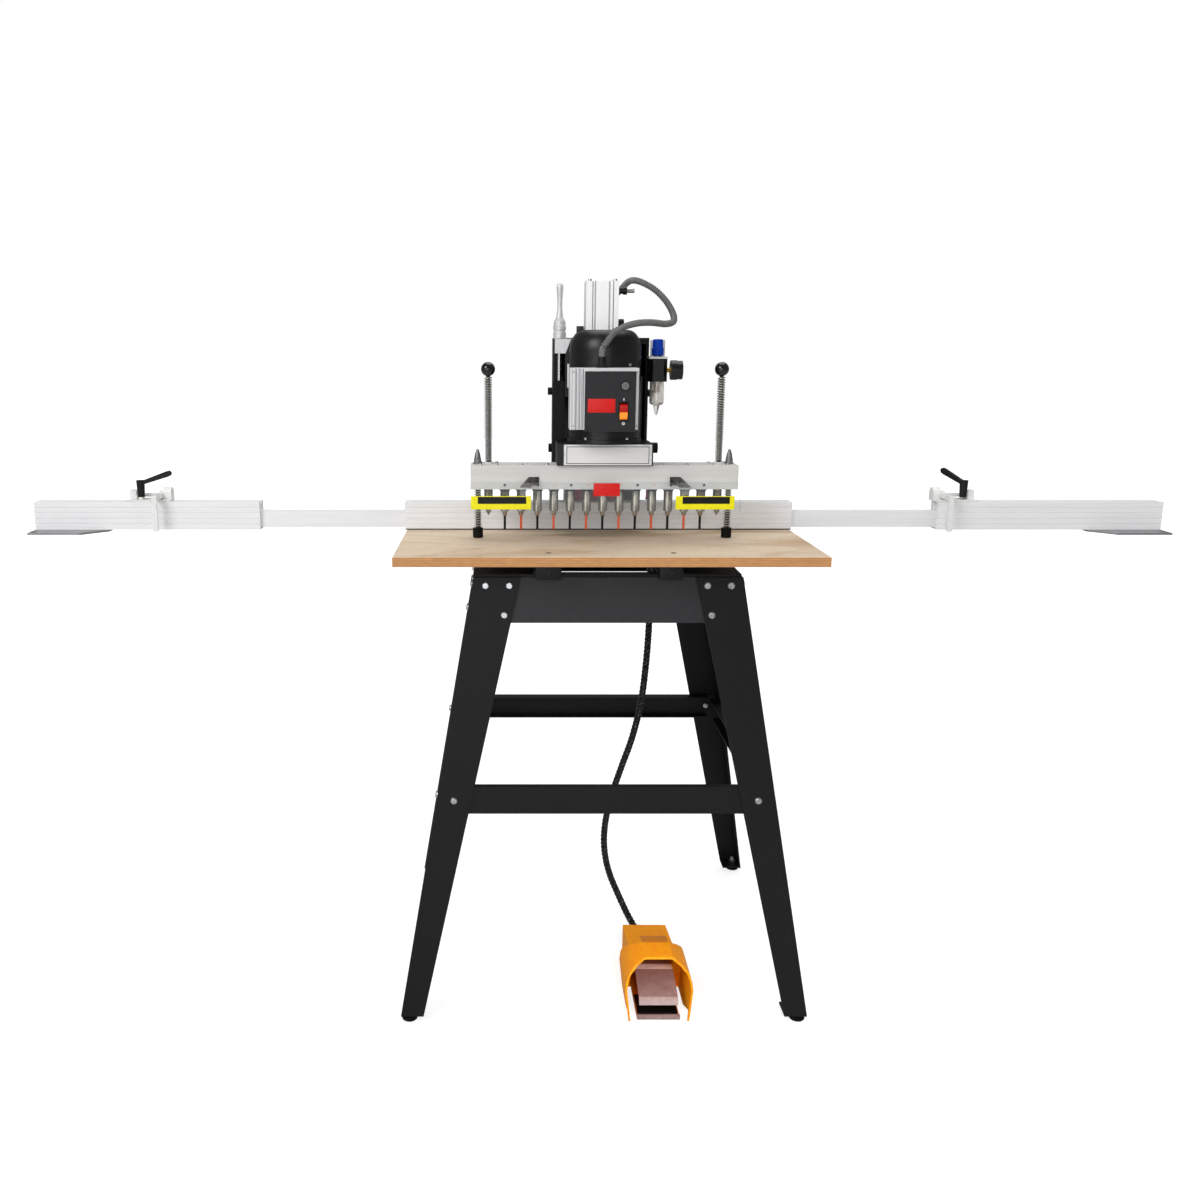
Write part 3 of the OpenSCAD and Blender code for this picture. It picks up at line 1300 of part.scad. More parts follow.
module pedal_treadle() {
  y = pivot_y;
  t = 3;
  color("#8d8084") difference() {
    union() {
      translate([pedal_x - treadle_w / 2, 0, 0]) rotate([90, 0, 90]) linear_extrude(treadle_w)
        polygon([[y, pivot_z + 4], [y - 100, 61], [y - 120, 61], [15 - pedal_front, 44], [8 - pedal_front, 40],
          [8 - pedal_front, 30], [10 - pedal_front, 30], [17 - pedal_front, 40], [y - 119, 57], [y - 101, 57],
          [y, pivot_z + 1]]);
      translate([pedal_x - treadle_w / 2, y, pivot_z]) rotate([0, 90, 0])
        cylinder(d = pivot_d + 2 * t, h = treadle_w);
    }
    translate([pedal_x - treadle_w / 2 - 1, y, pivot_z]) rotate([0, 90, 0])
      cylinder(r = pivot_d / 2 + fit, h = treadle_w + 2);
  }
}

legs();
stand_rails();
levelling_feet();
stand_bolts();
base_frame();
column();
head_housing();
guide_rods();
table_top();
fence();
outer_fence_left();
outer_fence_right();
stop_base_left();
stop_base_right();
stop_lever_left();
stop_lever_right();
stop_arm_left();
stop_arm_right();
filter_regulator();
filter_bowl();
regulator_knob();
air_cylinder();
carriage();
motor_base();
motor_body();
motor_cowl();
motor_rotor();
gear_housing();
switch_box();
switch_cover();
rocker_switch();
push_button();
guard();
guard_brackets();
index_pin(-1);  // index_pin_left
index_pin(1);  // index_pin_right
index_springs();
hold_down(-1);  // hold_down_left
hold_down(1);  // hold_down_right
hold_down_springs();
stop_handle();
stop_rod();
conduit();
pedal_hose();
pedal_base();
pedal_hood();
pedal_treadle();
for (i = [1 : spindles]) spindle(i);
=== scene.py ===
import math

import bmesh
import bpy
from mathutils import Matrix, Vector


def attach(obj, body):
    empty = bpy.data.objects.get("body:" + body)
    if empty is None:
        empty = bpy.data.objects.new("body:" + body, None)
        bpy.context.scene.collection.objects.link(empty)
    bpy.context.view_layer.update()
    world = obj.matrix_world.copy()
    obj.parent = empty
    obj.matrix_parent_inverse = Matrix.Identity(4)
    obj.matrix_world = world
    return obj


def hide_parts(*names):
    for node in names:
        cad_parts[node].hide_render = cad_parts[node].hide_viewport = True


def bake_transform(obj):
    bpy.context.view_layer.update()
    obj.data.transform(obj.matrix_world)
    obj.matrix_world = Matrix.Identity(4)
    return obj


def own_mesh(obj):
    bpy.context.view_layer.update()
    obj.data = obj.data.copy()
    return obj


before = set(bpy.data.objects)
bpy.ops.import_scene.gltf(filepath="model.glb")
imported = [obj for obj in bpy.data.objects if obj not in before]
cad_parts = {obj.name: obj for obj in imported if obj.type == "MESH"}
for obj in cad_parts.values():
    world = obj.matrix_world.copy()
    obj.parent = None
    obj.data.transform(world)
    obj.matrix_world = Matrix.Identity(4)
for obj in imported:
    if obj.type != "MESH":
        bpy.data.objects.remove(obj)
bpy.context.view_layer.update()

# Sizes are in millimetres, in the part's own frame, until a mesh is finished
MM = 0.001
PER_METRE = 1000
# The boring head: the plane of its bits, its beam and its spindles
DRILL_Y = -99
BEAM_LOW, BEAM_TOP, BEAM_FRONT = 1010, 1056, -132
PITCH = 32
SPINDLES = 13
# The height of the table, and the upright axes of the air cylinder and the filter
TABLE_TOP = 911
CYLINDER_Y = 21
FILTER_X, FILTER_Y = 107, -45
# Ways that a turned piece can face
TO_FRONT, TO_RIGHT, UP = (0, -1, 0), (1, 0, 0), (0, 0, 1)
SIDES = (("left", -1), ("right", 1))


# ---- camera, light and floor ----

def camera():
    """The photograph's eye: left of the middle at chest height, looking a little down."""
    down = 12.45
    lens = bpy.data.cameras.new("camera")
    lens.lens = 34.5
    lens.sensor_width = 36
    lens.shift_x = 0.0775
    lens.clip_end = 60
    eye = bpy.data.objects.new("camera", lens)
    eye.location = (-0.1877, -2.345, 1.280)
    eye.rotation_euler = (math.radians(90 - down), 0, 0)
    bpy.context.collection.objects.link(eye)
    bpy.context.scene.camera = eye


def softbox(name, place, aim, size, power, beam=180, gloss=True):
    """A square studio softbox at place, turned to aim. beam is its width of light in degrees, and
    without gloss it isn't mirrored."""
    lamp = bpy.data.lights.new(name, "AREA")
    lamp.shape = "SQUARE"
    lamp.size = size
    lamp.energy = power
    lamp.spread = math.radians(beam)
    box = bpy.data.objects.new(name, lamp)
    box.location = place
    box.rotation_euler = (Vector(aim) - Vector(place)).to_track_quat("-Z", "Y").to_euler()
    box.visible_glossy = gloss
    bpy.context.collection.objects.link(box)


def linear(colour):
    """An sRGB hex colour as linear red, green and blue, with an alpha of 1."""
    parts = [int(colour[i:i + 2], 16) / 255 for i in (1, 3, 5)]
    return [c / 12.92 if c <= 0.04045 else ((c + 0.055) / 1.055) ** 2.4 for c in parts] + [1.0]


def put(tree, kind, inputs=(), **settings):
    """Adds one shader node. inputs gives its sockets a value, or the socket to link from."""
    made = tree.nodes.new("ShaderNode" + kind)
    for key, value in settings.items():
        setattr(made, key, value)
    for key, value in dict(inputs).items():
        if isinstance(value, bpy.types.NodeSocket):
            tree.links.new(value, made.inputs[key])
        else:
            made.inputs[key].default_value = value
    return made


def seen_white(tree):
    """1 for rays that the eye sends out, also through glass, and 0 for light on the object."""
    path = put(tree, "LightPath")
    either = put(tree, "Math", {0: path.outputs["Is Camera Ray"],
                                1: path.outputs["Is Transmission Ray"]}, operation="MAXIMUM")
    return either.outputs[0]


def surroundings():
    """A white room: it lights the object at half strength and is mirrored more dimly still."""
    on_object, mirrored, seen = 0.52, 0.2, 1.0
    world = bpy.data.worlds.new("studio")
    bpy.context.scene.world = world
    world.use_nodes = True
    tree = world.node_tree
    tree.nodes.clear()
    gloss = put(tree, "LightPath").outputs["Is Glossy Ray"]
    room = put(tree, "MapRange", {"Value": gloss, "To Min": on_object, "To Max": mirrored})
    level = put(tree, "MapRange", {"Value": seen_white(tree), "To Min": room.outputs[0],
                                   "To Max": seen})
    light = put(tree, "Background", {"Color": (1, 1, 1, 1), "Strength": level.outputs[0]})
    put(tree, "OutputWorld", {"Surface": light.outputs[0]})


def backdrop():
    """A floor of matt paper that keeps the shadow, lifted to white for the eye further out."""
    shadow_reach, white_from = 1.2, 5.0
    bpy.ops.mesh.primitive_circle_add(vertices=96, radius=14, fill_type="NGON", location=(0, 0, 0))
    floor = bpy.context.object
    floor.name = "floor"
    paper = bpy.data.materials.new("white_backdrop_paper")
    paper.use_nodes = True
    tree = paper.node_tree
    tree.nodes.clear()
    matt = put(tree, "BsdfDiffuse", {"Color": linear("#b4b4b4")})
    place = put(tree, "TexCoord").outputs["Object"]
    reach = put(tree, "VectorMath", {0: place}, operation="LENGTH").outputs["Value"]
    level = put(tree, "MapRange", {"Value": reach, "From Min": shadow_reach, "From Max": white_from,
                                   "To Min": 0.7, "To Max": 1.0})
    glow = put(tree, "Emission", {"Color": (1, 1, 1, 1), "Strength": level.outputs[0]})
    dark = put(tree, "Emission", {"Color": (0, 0, 0, 1), "Strength": 0.0})
    lift = put(tree, "MixShader", {0: seen_white(tree), 1: dark.outputs[0], 2: glow.outputs[0]})
    both = put(tree, "AddShader", {0: matt.outputs[0], 1: lift.outputs[0]})
    put(tree, "OutputMaterial", {"Surface": both.outputs[0]})
    floor.data.materials.append(paper)


def studio():
    """The room, the floor and the softboxes. Places are in metres and power in watts."""
    surroundings()
    backdrop()
    softbox("key", (-2.6, -2.8, 3.2), (0, 0, 0.9), size=1.8, power=80)
    softbox("front", (-0.5, -4.4, 1.5), (0, 0, 0.9), size=1.4, power=20)
    softbox("fill", (3.0, -2.4, 2.0), (0, 0, 0.8), size=2.0, power=30, gloss=False)
    softbox("low", (-2.0, -3.2, 0.7), (0, -0.1, 0.95), size=1.2, power=0.95, beam=50)
    softbox("pedal", (0.15, -2.0, 1.3), (0.107, -0.2, 0.05), size=0.5, power=1.1, beam=40,
            gloss=False)
    softbox("top", (0.2, 0.8, 4.0), (0, 0, 0.9), size=2.6, power=50)
    bpy.context.scene.view_settings.view_transform = "Standard"


# ---- materials ----

# Nearly all values of a noise lie between these two, so a finish is spread over them
NOISE_LOW, NOISE_HIGH = 0.3, 0.7


def set_stops(ramp, *stops):
    """Gives a colour ramp its two stops, each a position and a colour."""
    for stop, (position, colour) in zip(ramp.color_ramp.elements, stops):
        stop.color = linear(colour)
        stop.position = position


def finish(name, colours, rough, grain_mm, stretch=(1, 1, 1), bump_mm=0.0, metallic=0.0, **sockets):
    """A surface whose colour, roughness and height drift together over grains of grain_mm, drawn
    out by stretch. Further names are sockets of the shader, with a space for each underscore."""
    made = bpy.data.materials.new(name)
    made.use_nodes = True
    tree = made.node_tree
    shader = tree.nodes["Principled BSDF"]
    place = put(tree, "TexCoord").outputs["Object"]
    drawn = put(tree, "Mapping", {"Vector": place, "Scale": [1 / s for s in stretch]}).outputs[0]
    grain = put(tree, "TexNoise", {"Vector": drawn, "Scale": 1 / (grain_mm * MM), "Detail": 4.0,
                                   "Roughness": 0.6}).outputs["Fac"]
    tint = put(tree, "ValToRGB", {"Fac": grain})
    set_stops(tint, (NOISE_LOW, colours[0]), (NOISE_HIGH, colours[1]))
    sheen = put(tree, "MapRange", {"Value": grain, "From Min": NOISE_LOW, "From Max": NOISE_HIGH,
                                   "To Min": rough[0], "To Max": rough[1]})
    tree.links.new(tint.outputs["Color"], shader.inputs["Base Color"])
    tree.links.new(sheen.outputs[0], shader.inputs["Roughness"])
    shader.inputs["Metallic"].default_value = metallic
    for key, value in sockets.items():
        shader.inputs[key.replace("_", " ")].default_value = value
    if bump_mm:
        lift = put(tree, "Bump", {"Height": grain, "Distance": bump_mm * MM, "Strength": 1.0})
        tree.links.new(lift.outputs[0], shader.inputs["Normal"])
    return made


def multiply_colour(material, *layers):
    """Multiplies patterns over a finish's colour. A layer is a share, a value and two stops."""
    tree = material.node_tree
    base = tree.nodes["Principled BSDF"].inputs["Base Color"]
    colour = base.links[0].from_socket
    for share, value, *stops in layers:
        pattern = put(tree, "ValToRGB", {"Fac": value})
        set_stops(pattern, *stops)
        both = put(tree, "Mix", {0: share, 6: colour, 7: pattern.outputs["Color"]},
                   data_type="RGBA", blend_type="MULTIPLY")
        colour = both.outputs[2]
    tree.links.new(colour, base)


def birch_plywood():
    """Birch veneer, sanded and oiled: pale tan with long fibres, broad brown figure and small dark
    pores."""
    made = finish("birch_plywood", ("#cbb59a", "#dac8b0"), (0.5, 0.68), 5, stretch=(26, 1, 4),
                  bump_mm=0.04)
    figure_mm = 125
    # Pores are 11 mm long and 1.4 mm wide
    pores_in_metre = (90, 700, 700)
    tree = made.node_tree
    place = put(tree, "TexCoord").outputs["Object"]
    long_way = put(tree, "Mapping", {"Vector": place, "Scale": (0.45, 1, 1)}).outputs[0]
    figure = put(tree, "TexNoise", {"Vector": long_way, "Scale": 1 / (figure_mm * MM), "Detail": 6,
                                    "Distortion": 1.0}).outputs["Fac"]
    pore_way = put(tree, "Mapping", {"Vector": place, "Scale": pores_in_metre}).outputs[0]
    pores = put(tree, "TexNoise", {"Vector": pore_way, "Scale": 1.0, "Detail": 1.0}).outputs["Fac"]
    multiply_colour(made, (1.0, figure, (0.3, "#d9c8b2"), (0.5, "#ffffff")),
                    (0.7, pores, (0.27, "#9d7f5e"), (0.34, "#ffffff")))
    return made


def steel_with_painted_shade():
    """Turned tool steel: warm grey, with turning marks round it, and painted shade where other
    pieces stand close."""
    made = finish("turned_steel", ("#857d74", "#bab2a7"), (0.18, 0.26), 1.2, stretch=(3, 3, 0.35),
                  metallic=1.0, bump_mm=0.004)
    shade_reach_mm = 30
    # The colour darkens where pieces stand close: painted shade
    openness = put(made.node_tree, "AmbientOcclusion", {"Distance": shade_reach_mm * MM},
                   samples=12).outputs["AO"]
    multiply_colour(made, (1.0, openness, (0.5, "#55504a"), (0.86, "#ffffff")))
    return made


def plywood_edge():
    """The sawn edge of birch plywood: orange brown, its plies 1.5 mm thick and by turns light and
    dark."""
    made = finish("plywood_edge", ("#bd8954", "#d6a26d"), (0.55, 0.75), 2.2, stretch=(8, 8, 1),
                  bump_mm=0.12)
    two_plies_mm = 3.0
    # The wave texture's scale is about a third of its waves in a metre
    waves = 1 / (two_plies_mm * MM) / 6.283 * 2
    tree = made.node_tree
    place = put(tree, "TexCoord").outputs["Object"]
    plies = put(tree, "TexWave", {"Vector": place, "Scale": waves, "Distortion": 0.6,
                                  "Detail": 1.0}, bands_direction="Z").outputs["Fac"]
    multiply_colour(made, (0.8, plies, (0.0, "#d9c4b4"), (1.0, "#ffffff")))
    return made


# Polyester powder coat on folded steel: near black, an even satin with the skin of an orange
powder_coat = finish("powder_coat", ("#0c0c0d", "#131314"), (0.4, 0.54), 2.4, bump_mm=0.05,
                     Specular_IOR_Level=0.28)
# The same coat lighter on the broad top rails: painted light, as they catch more light
powder_coat_painted_light = finish("powder_coat_painted_light", ("#222225", "#2b2b2e"), (0.4, 0.54), 2.4,
                          bump_mm=0.05, Specular_IOR_Level=0.4)
# The same coat darker: painted shade where the table keeps the light off, on the back legs, the
# braces, the base frame
powder_coat_painted_shade = finish("powder_coat_painted_shade", ("#0a0a0b", "#101011"), (0.44, 0.6), 2.4,
                          bump_mm=0.05, Specular_IOR_Level=0.3)
# Zinc plating on pressed bolts: bright, bluish and slightly cloudy
zinc_plate = finish("zinc_plate", ("#b9bcc0", "#e3e5e8"), (0.22, 0.42), 3, metallic=1.0,
                    bump_mm=0.02)
# Nitrile rubber: matt black with a fine moulded grain
nitrile_rubber = finish("nitrile_rubber", ("#050505", "#0b0b0b"), (0.62, 0.82), 1.2, bump_mm=0.08,
                        Specular_IOR_Level=0.2)
# The board's faces and its sawn edge
birch = birch_plywood()
ply_edge = plywood_edge()
# Anodised aluminium extrusion: white silver, its die lines running along the length
anodised = finish("anodised_extrusion", ("#e3e3e5", "#eeeeef"), (0.42, 0.54), 1.6,
                  stretch=(160, 1, 1), metallic=0.1, bump_mm=0.008)
# The same metal drawn the upright way: the switch box, the depth stop's block, the filter's bracket
anodised_upright = finish("anodised_upright", ("#cfd0d2", "#e2e3e4"), (0.3, 0.44), 1.4,
                          stretch=(1, 1, 120), metallic=0.25, bump_mm=0.008)
# Clear-anodised barrel of the air cylinder: white silver, satin
barrel = finish("anodised_barrel", ("#f3f3f4", "#fbfbfb"), (0.34, 0.46), 2, stretch=(1, 1, 120),
                bump_mm=0.004)
# The same, darker, in the barrel's grooves and the box's grooves: painted shade
groove_painted_shade = finish("anodised_barrel_slot", ("#747578", "#8e8f92"), (0.5, 0.65), 2,
                     stretch=(1, 1, 60), metallic=0.3)
# The barrel's shallow slots, a little darker: painted shade
shallow_slot_painted_shade = finish("anodised_shallow_slot", ("#bdbec0", "#cfd0d1"), (0.4, 0.5), 2,
                      stretch=(1, 1, 60), metallic=0.2)
# Mill-finish aluminium sheet of the support plates: duller and greyer
mill_sheet = finish("mill_sheet", ("#8b8c8e", "#a5a6a8"), (0.38, 0.5), 2, stretch=(30, 1, 1),
                    metallic=0.7, bump_mm=0.02)
# White satin enamel on die-cast zinc: soft gloss with slight waves
white_enamel = finish("white_enamel", ("#dcdcdb", "#e8e8e6"), (0.3, 0.42), 9, bump_mm=0.03,
                      Coat_Weight=0.15)
# Glass-filled nylon: black, half matt, with a fine spark grain
nylon = finish("glass_filled_nylon", ("#0b0b0c", "#151516"), (0.42, 0.6), 1.1, bump_mm=0.06,
               Specular_IOR_Level=0.35)
# Hammered crimson enamel over cast iron
crimson_enamel = finish("crimson_enamel", ("#b2163f", "#cf3460"), (0.34, 0.5), 5, bump_mm=0.3)
# Rods ground and polished: bright and cold, with fine marks round them
ground_steel = finish("ground_steel", ("#b2b4b6", "#d6d8da"), (0.18, 0.3), 0.9, stretch=(1, 1, 0.3),
                      metallic=1.0, bump_mm=0.003)
# Milled aluminium under clear lacquer: light warm grey, faint cutter marks along the beam
milled = finish("milled_aluminium", ("#cccac7", "#d5d3d0"), (0.42, 0.54), 9, stretch=(20, 8, 1),
                metallic=0.1, bump_mm=0.004)
# Baked satin enamel on the motor and its castings
motor_enamel = finish("motor_enamel", ("#0a0a0b", "#111112"), (0.32, 0.42), 6, bump_mm=0.03,
                      Specular_IOR_Level=0.45)
# Powder coat on the head's fixed case: near black and half matt
case_coat = finish("case_powder_coat", ("#09090a", "#0f0f10"), (0.44, 0.56), 3, bump_mm=0.04,
                   Specular_IOR_Level=0.22)
# Textured ABS: charcoal, half matt, with a spark grain
abs_charcoal = finish("abs_charcoal", ("#202023", "#28282b"), (0.46, 0.6), 1.0, bump_mm=0.04,
                      Specular_IOR_Level=0.35)
# Polycarbonate, red in the mass and glossy
red_polycarbonate = finish("red_polycarbonate", ("#a8100b", "#be1a12"), (0.16, 0.24), 6,
                           Specular_IOR_Level=0.4)
# The same plastic in amber, lit from behind by a small lamp
amber_polycarbonate = finish("amber_polycarbonate", ("#e07a1c", "#ee9430"), (0.16, 0.24), 4,
                             Emission_Color=linear("#f08a24"), Emission_Strength=0.45)
# Clear polycarbonate sheet, cut and polished at its edges
clear_sheet = finish("clear_polycarbonate", ("#f2f6f7", "#fafcfc"), (0.02, 0.05), 60, IOR=1.58,
                     Transmission_Weight=1.0)
# Clear polycarbonate bowl, a little yellow with oil mist
clear_bowl = finish("smoked_polycarbonate", ("#e9e6df", "#f6f5f2"), (0.08, 0.18), 14, IOR=1.58,
                    Transmission_Weight=0.8)
# Blue nylon knob, moulded with a fine grain
blue_nylon = finish("blue_nylon", ("#033092", "#063eb0"), (0.4, 0.54), 1.6, bump_mm=0.04,
                    Specular_IOR_Level=0.15)
# Black polyester moulding of the filter: smoother than nylon
black_polyester = finish("black_polyester", ("#09090a", "#121213"), (0.24, 0.38), 3, bump_mm=0.04)
# Tool steel of the spindles, the index pins and the rotor, with painted shade near other pieces
turned_steel = steel_with_painted_shade()
# Drawn spring wire: grey with a hint of straw
spring_wire = finish("spring_wire", ("#8b8985", "#c3c2be"), (0.24, 0.36), 2, metallic=0.7)
# Soft grey PVC conduit, half matt
pvc_conduit = finish("grey_conduit", ("#5a5a5a", "#747371"), (0.4, 0.58), 4, bump_mm=0.05)
# Black polyurethane air hose with a wet sheen
polyurethane = finish("black_polyurethane", ("#080808", "#141414"), (0.2, 0.34), 8, bump_mm=0.05)
# Orange ABS hood: warm, half gloss, with slight flow marks
abs_orange = finish("abs_orange", ("#fb8e06", "#ffa412"), (0.42, 0.56), 12, bump_mm=0.05,
                    Specular_IOR_Level=0.15, Subsurface_Weight=0.35, Subsurface_Scale=0.006)
# Painted shade: the same plastic darker, for the hood's sunk panel and the pedal's floor
abs_orange_painted_shade = finish("abs_orange_painted_shade", ("#cf7510", "#e08516"), (0.4, 0.55), 6, bump_mm=0.05,
                         Specular_IOR_Level=0.3)
# The treadle's hammered metallic enamel: mauve grey with small dimples
hammered = finish("hammered_enamel", ("#8d716e", "#a58985"), (0.34, 0.46), 14, metallic=0.2,
                  bump_mm=0.02)
# The same enamel almost white on the treadle's crest: a painted highlight
enamel_painted_highlight = finish("enamel_painted_highlight", ("#f4e9e6", "#fffafa"), (0.26, 0.36), 10, metallic=0.1,
                     bump_mm=0.01)
# The same enamel at the treadle's lip, less light: a weaker painted highlight
enamel_painted_lip_highlight = finish("enamel_painted_lip_highlight", ("#b29a96", "#c9b3ae"), (0.3, 0.4), 10, metallic=0.15,
                       bump_mm=0.01)
# Turned aluminium of the depth stop's handle
turned_aluminium = finish("turned_aluminium", ("#cfd0d1", "#dddedf"), (0.36, 0.46), 4,
                          stretch=(3, 3, 0.4), metallic=0.35, bump_mm=0.002)
# Black oxide on the left-hand bits
black_oxide = finish("black_oxide", ("#121212", "#262625"), (0.3, 0.5), 2, metallic=0.6,
                     bump_mm=0.01)
# Orange lacquer on the right-hand bits
orange_lacquer = finish("orange_lacquer", ("#d9481c", "#ee6a34"), (0.24, 0.36), 3, Coat_Weight=0.3)
# Brass, turned and left bare
brass = finish("turned_brass", ("#a8823e", "#d3ae62"), (0.2, 0.34), 1.4, stretch=(1, 1, 0.4),
               metallic=1.0, bump_mm=0.01)
# Phenolic ball: moulded black resin, polished
phenolic = finish("phenolic_resin", ("#0b0b0b", "#141414"), (0.1, 0.18), 10, Coat_Weight=0.3)
# Satin silver face of the bare plates
plate_silver = finish("silver_plate_face", ("#dadada", "#e8e8e8"), (0.34, 0.46), 0.8,
                      stretch=(60, 1, 1), metallic=0.15)
# Vinyl film of the bare plates, in yellow, black, red and white
yellow_vinyl = finish("yellow_vinyl", ("#e4dc0c", "#efe81a"), (0.36, 0.46), 8,
                      Specular_IOR_Level=0.3)
black_vinyl = finish("black_vinyl", ("#0c0c0c", "#161615"), (0.36, 0.46), 8, Specular_IOR_Level=0.3)
red_vinyl = finish("red_vinyl", ("#c91512", "#d61e1a"), (0.36, 0.46), 8, Specular_IOR_Level=0.3)
white_vinyl = finish("white_vinyl", ("#e8e8e6", "#f3f3f1"), (0.34, 0.44), 8)
# Sintered bronze of the filter's element: brown and coarse
sintered_bronze = finish("sintered_bronze", ("#8a6d52", "#b3957a"), (0.5, 0.7), 1.5, bump_mm=0.1)
# Pinkish red nylon of a push-in fitting
red_nylon = finish("red_nylon", ("#b83a66", "#c9497a"), (0.34, 0.46), 3, Specular_IOR_Level=0.35)
# Dark steel of small screws, oiled
oiled_steel = finish("oiled_steel", ("#2e2b28", "#4a4642"), (0.3, 0.45), 1.2, metallic=0.8,
                     bump_mm=0.02)
# Nickel on brass fittings
nickel = finish("nickel_plate", ("#c4c1bb", "#e0ddd6"), (0.16, 0.28), 3, metallic=1.0)
# The same plating brushed dull, on the push button's body and the hold-downs' tops
satin_nickel = finish("satin_nickel", ("#7b7b7c", "#99999a"), (0.36, 0.48), 2, metallic=0.8,
                      bump_mm=0.01)
# Grey thermoplastic of the push button's pad
grey_plastic = finish("grey_plastic", ("#5c5c5f", "#6d6d70"), (0.4, 0.52), 3,
                      Specular_IOR_Level=0.3)


# ---- mesh builders, in millimetres ----

# Edges of a scene piece that turn more than this are eased
EASE_FROM = math.radians(30)


def spindle_x(number):
    """A spindle's place along the beam: the seventh stands in the middle."""
    return (number - 7) * PITCH


def block(bm, low, high, finish_at=0):
    """A box from its low corner to its high corner. Gives back its vertices."""
    made = bmesh.ops.create_cube(bm, size=1.0)["verts"]
    for v in made:
        v.co = Vector([low[k] + (v.co[k] + 0.5) * (high[k] - low[k]) for k in range(3)])
    for f in {f for v in made for f in v.link_faces}:
        f.material_index = finish_at
    return made


def border(bm, low, high, bar_w, bar_h, front, back, finish_at=0):
    """Four bars inside an upright rectangle, which is given by two (x, z) corners. bar_w is the
    width of its upright bars and bar_h the height of its level ones."""
    (x0, z0), (x1, z1) = low, high
    for a0, b0, a1, b1 in ((x0, z0, x0 + bar_w, z1), (x1 - bar_w, z0, x1, z1),
                           (x0, z0, x1, z0 + bar_h), (x0, z1 - bar_h, x1, z1)):
        block(bm, (a0, front, b0), (a1, back, b1), finish_at)


def ring_faces(bm, rings, finish_at=0):
    """Joins closed rings of vertices by quads; a ring of one vertex is a tip."""
    for a, b in zip(rings, rings[1:]):
        for k in range(max(len(a), len(b))):
            corners = []
            for v in (a[k % len(a)], a[(k + 1) % len(a)], b[(k + 1) % len(b)], b[k % len(b)]):
                if v not in corners:
                    corners.append(v)
            bm.faces.new(corners).material_index = finish_at


def turned(bm, profile, at, axis, sides=48, finish_at=0):
    """A turned piece: profile is (radius, height) pairs along axis from at."""
    turn = Vector(axis).to_track_quat("Z", "Y").to_matrix()
    rings = []
    for radius, height in profile:
        ring = []
        for k in range(sides if radius > 0 else 1):
            a = 2 * math.pi * k / sides
            corner = Vector((radius * math.cos(a), radius * math.sin(a), height))
            ring.append(bm.verts.new(Vector(at) + turn @ corner))
        rings.append(ring)
    ring_faces(bm, rings, finish_at)


def frames_along(points, start_side):
    """A side and an up vector at each point of a path, carried along it without twist."""
    out, side = [], Vector(start_side)
    for i in range(len(points)):
        ahead = (points[min(i + 1, len(points) - 1)] - points[max(i - 1, 0)]).normalized()
        side = (side - ahead * side.dot(ahead)).normalized()
        out.append((side.copy(), ahead.cross(side)))
    return out


def swept(bm, points, radii, sides, start_side=(0, 1, 0)):
    """A closed tube along points."""
    rings = []
    for p, r, (side, up) in zip(points, radii, frames_along(points, start_side)):
        ring = []
        for k in range(sides):
            a = 2 * math.pi * k / sides
            ring.append(bm.verts.new(p + r * (side * math.cos(a) + up * math.sin(a))))
        rings.append(ring)
    ring_faces(bm, rings)
    bm.faces.new(rings[0][::-1])
    bm.faces.new(rings[-1])


def curve_through(points, steps):
    """A smooth curve through the points, with steps pieces in each span."""
    p = [Vector(q) for q in points]
    out = []
    for i in range(len(p) - 1):
        a, b, c, d = p[max(i - 1, 0)], p[i], p[i + 1], p[min(i + 2, len(p) - 1)]
        for j in range(steps):
            f = j / steps
            out.append((2 * b + (c - a) * f + (2 * a - 5 * b + 4 * c - d) * f * f
                        + (3 * b - a - 3 * c + d) * f ** 3) / 2)
    return out + [p[-1]]


def evenly(points, gap_mm):
    """The same path with its points gap_mm apart, and its length."""
    lengths = [0.0]
    for a, b in zip(points, points[1:]):
        lengths.append(lengths[-1] + (b - a).length)
    count = max(2, round(lengths[-1] / gap_mm))
    out, i = [], 0
    for k in range(count + 1):
        want = lengths[-1] * k / count
        while i < len(points) - 2 and lengths[i + 1] < want:
            i += 1
        span = lengths[i + 1] - lengths[i]
        share = (want - lengths[i]) / span if span else 0
        out.append(points[i].lerp(points[i + 1], share))
    return out, lengths[-1]


def piece(name, build, finishes, body, bevel_mm=0.0, smooth=35):
    """Makes one piece from what build draws in millimetres, and rides it on its body if it has one.
    Edges under smooth degrees are shaded smooth."""
    bm = bmesh.new()
    build(bm)
    if bevel_mm:
        bm.normal_update()
        edges = [e for e in bm.edges
                 if len(e.link_faces) == 2 and e.calc_face_angle(0) > EASE_FROM]
        bmesh.ops.bevel(bm, geom=edges, offset=bevel_mm, segments=2, profile=0.6, affect="EDGES",
                        clamp_overlap=True)
    bmesh.ops.recalc_face_normals(bm, faces=bm.faces)
    bmesh.ops.scale(bm, vec=(MM, MM, MM), verts=bm.verts)
    mesh = bpy.data.meshes.new(name)
    bm.to_mesh(mesh)
    bm.free()
    for material in finishes:
        mesh.materials.append(material)
    mesh.shade_smooth()
    mesh.set_sharp_from_angle(angle=math.radians(smooth))
    made = bpy.data.objects.new(name, mesh)
    bpy.context.collection.objects.link(made)
    if body:
        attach(made, body)
    return made


# ---- air hoses to the pedal ----

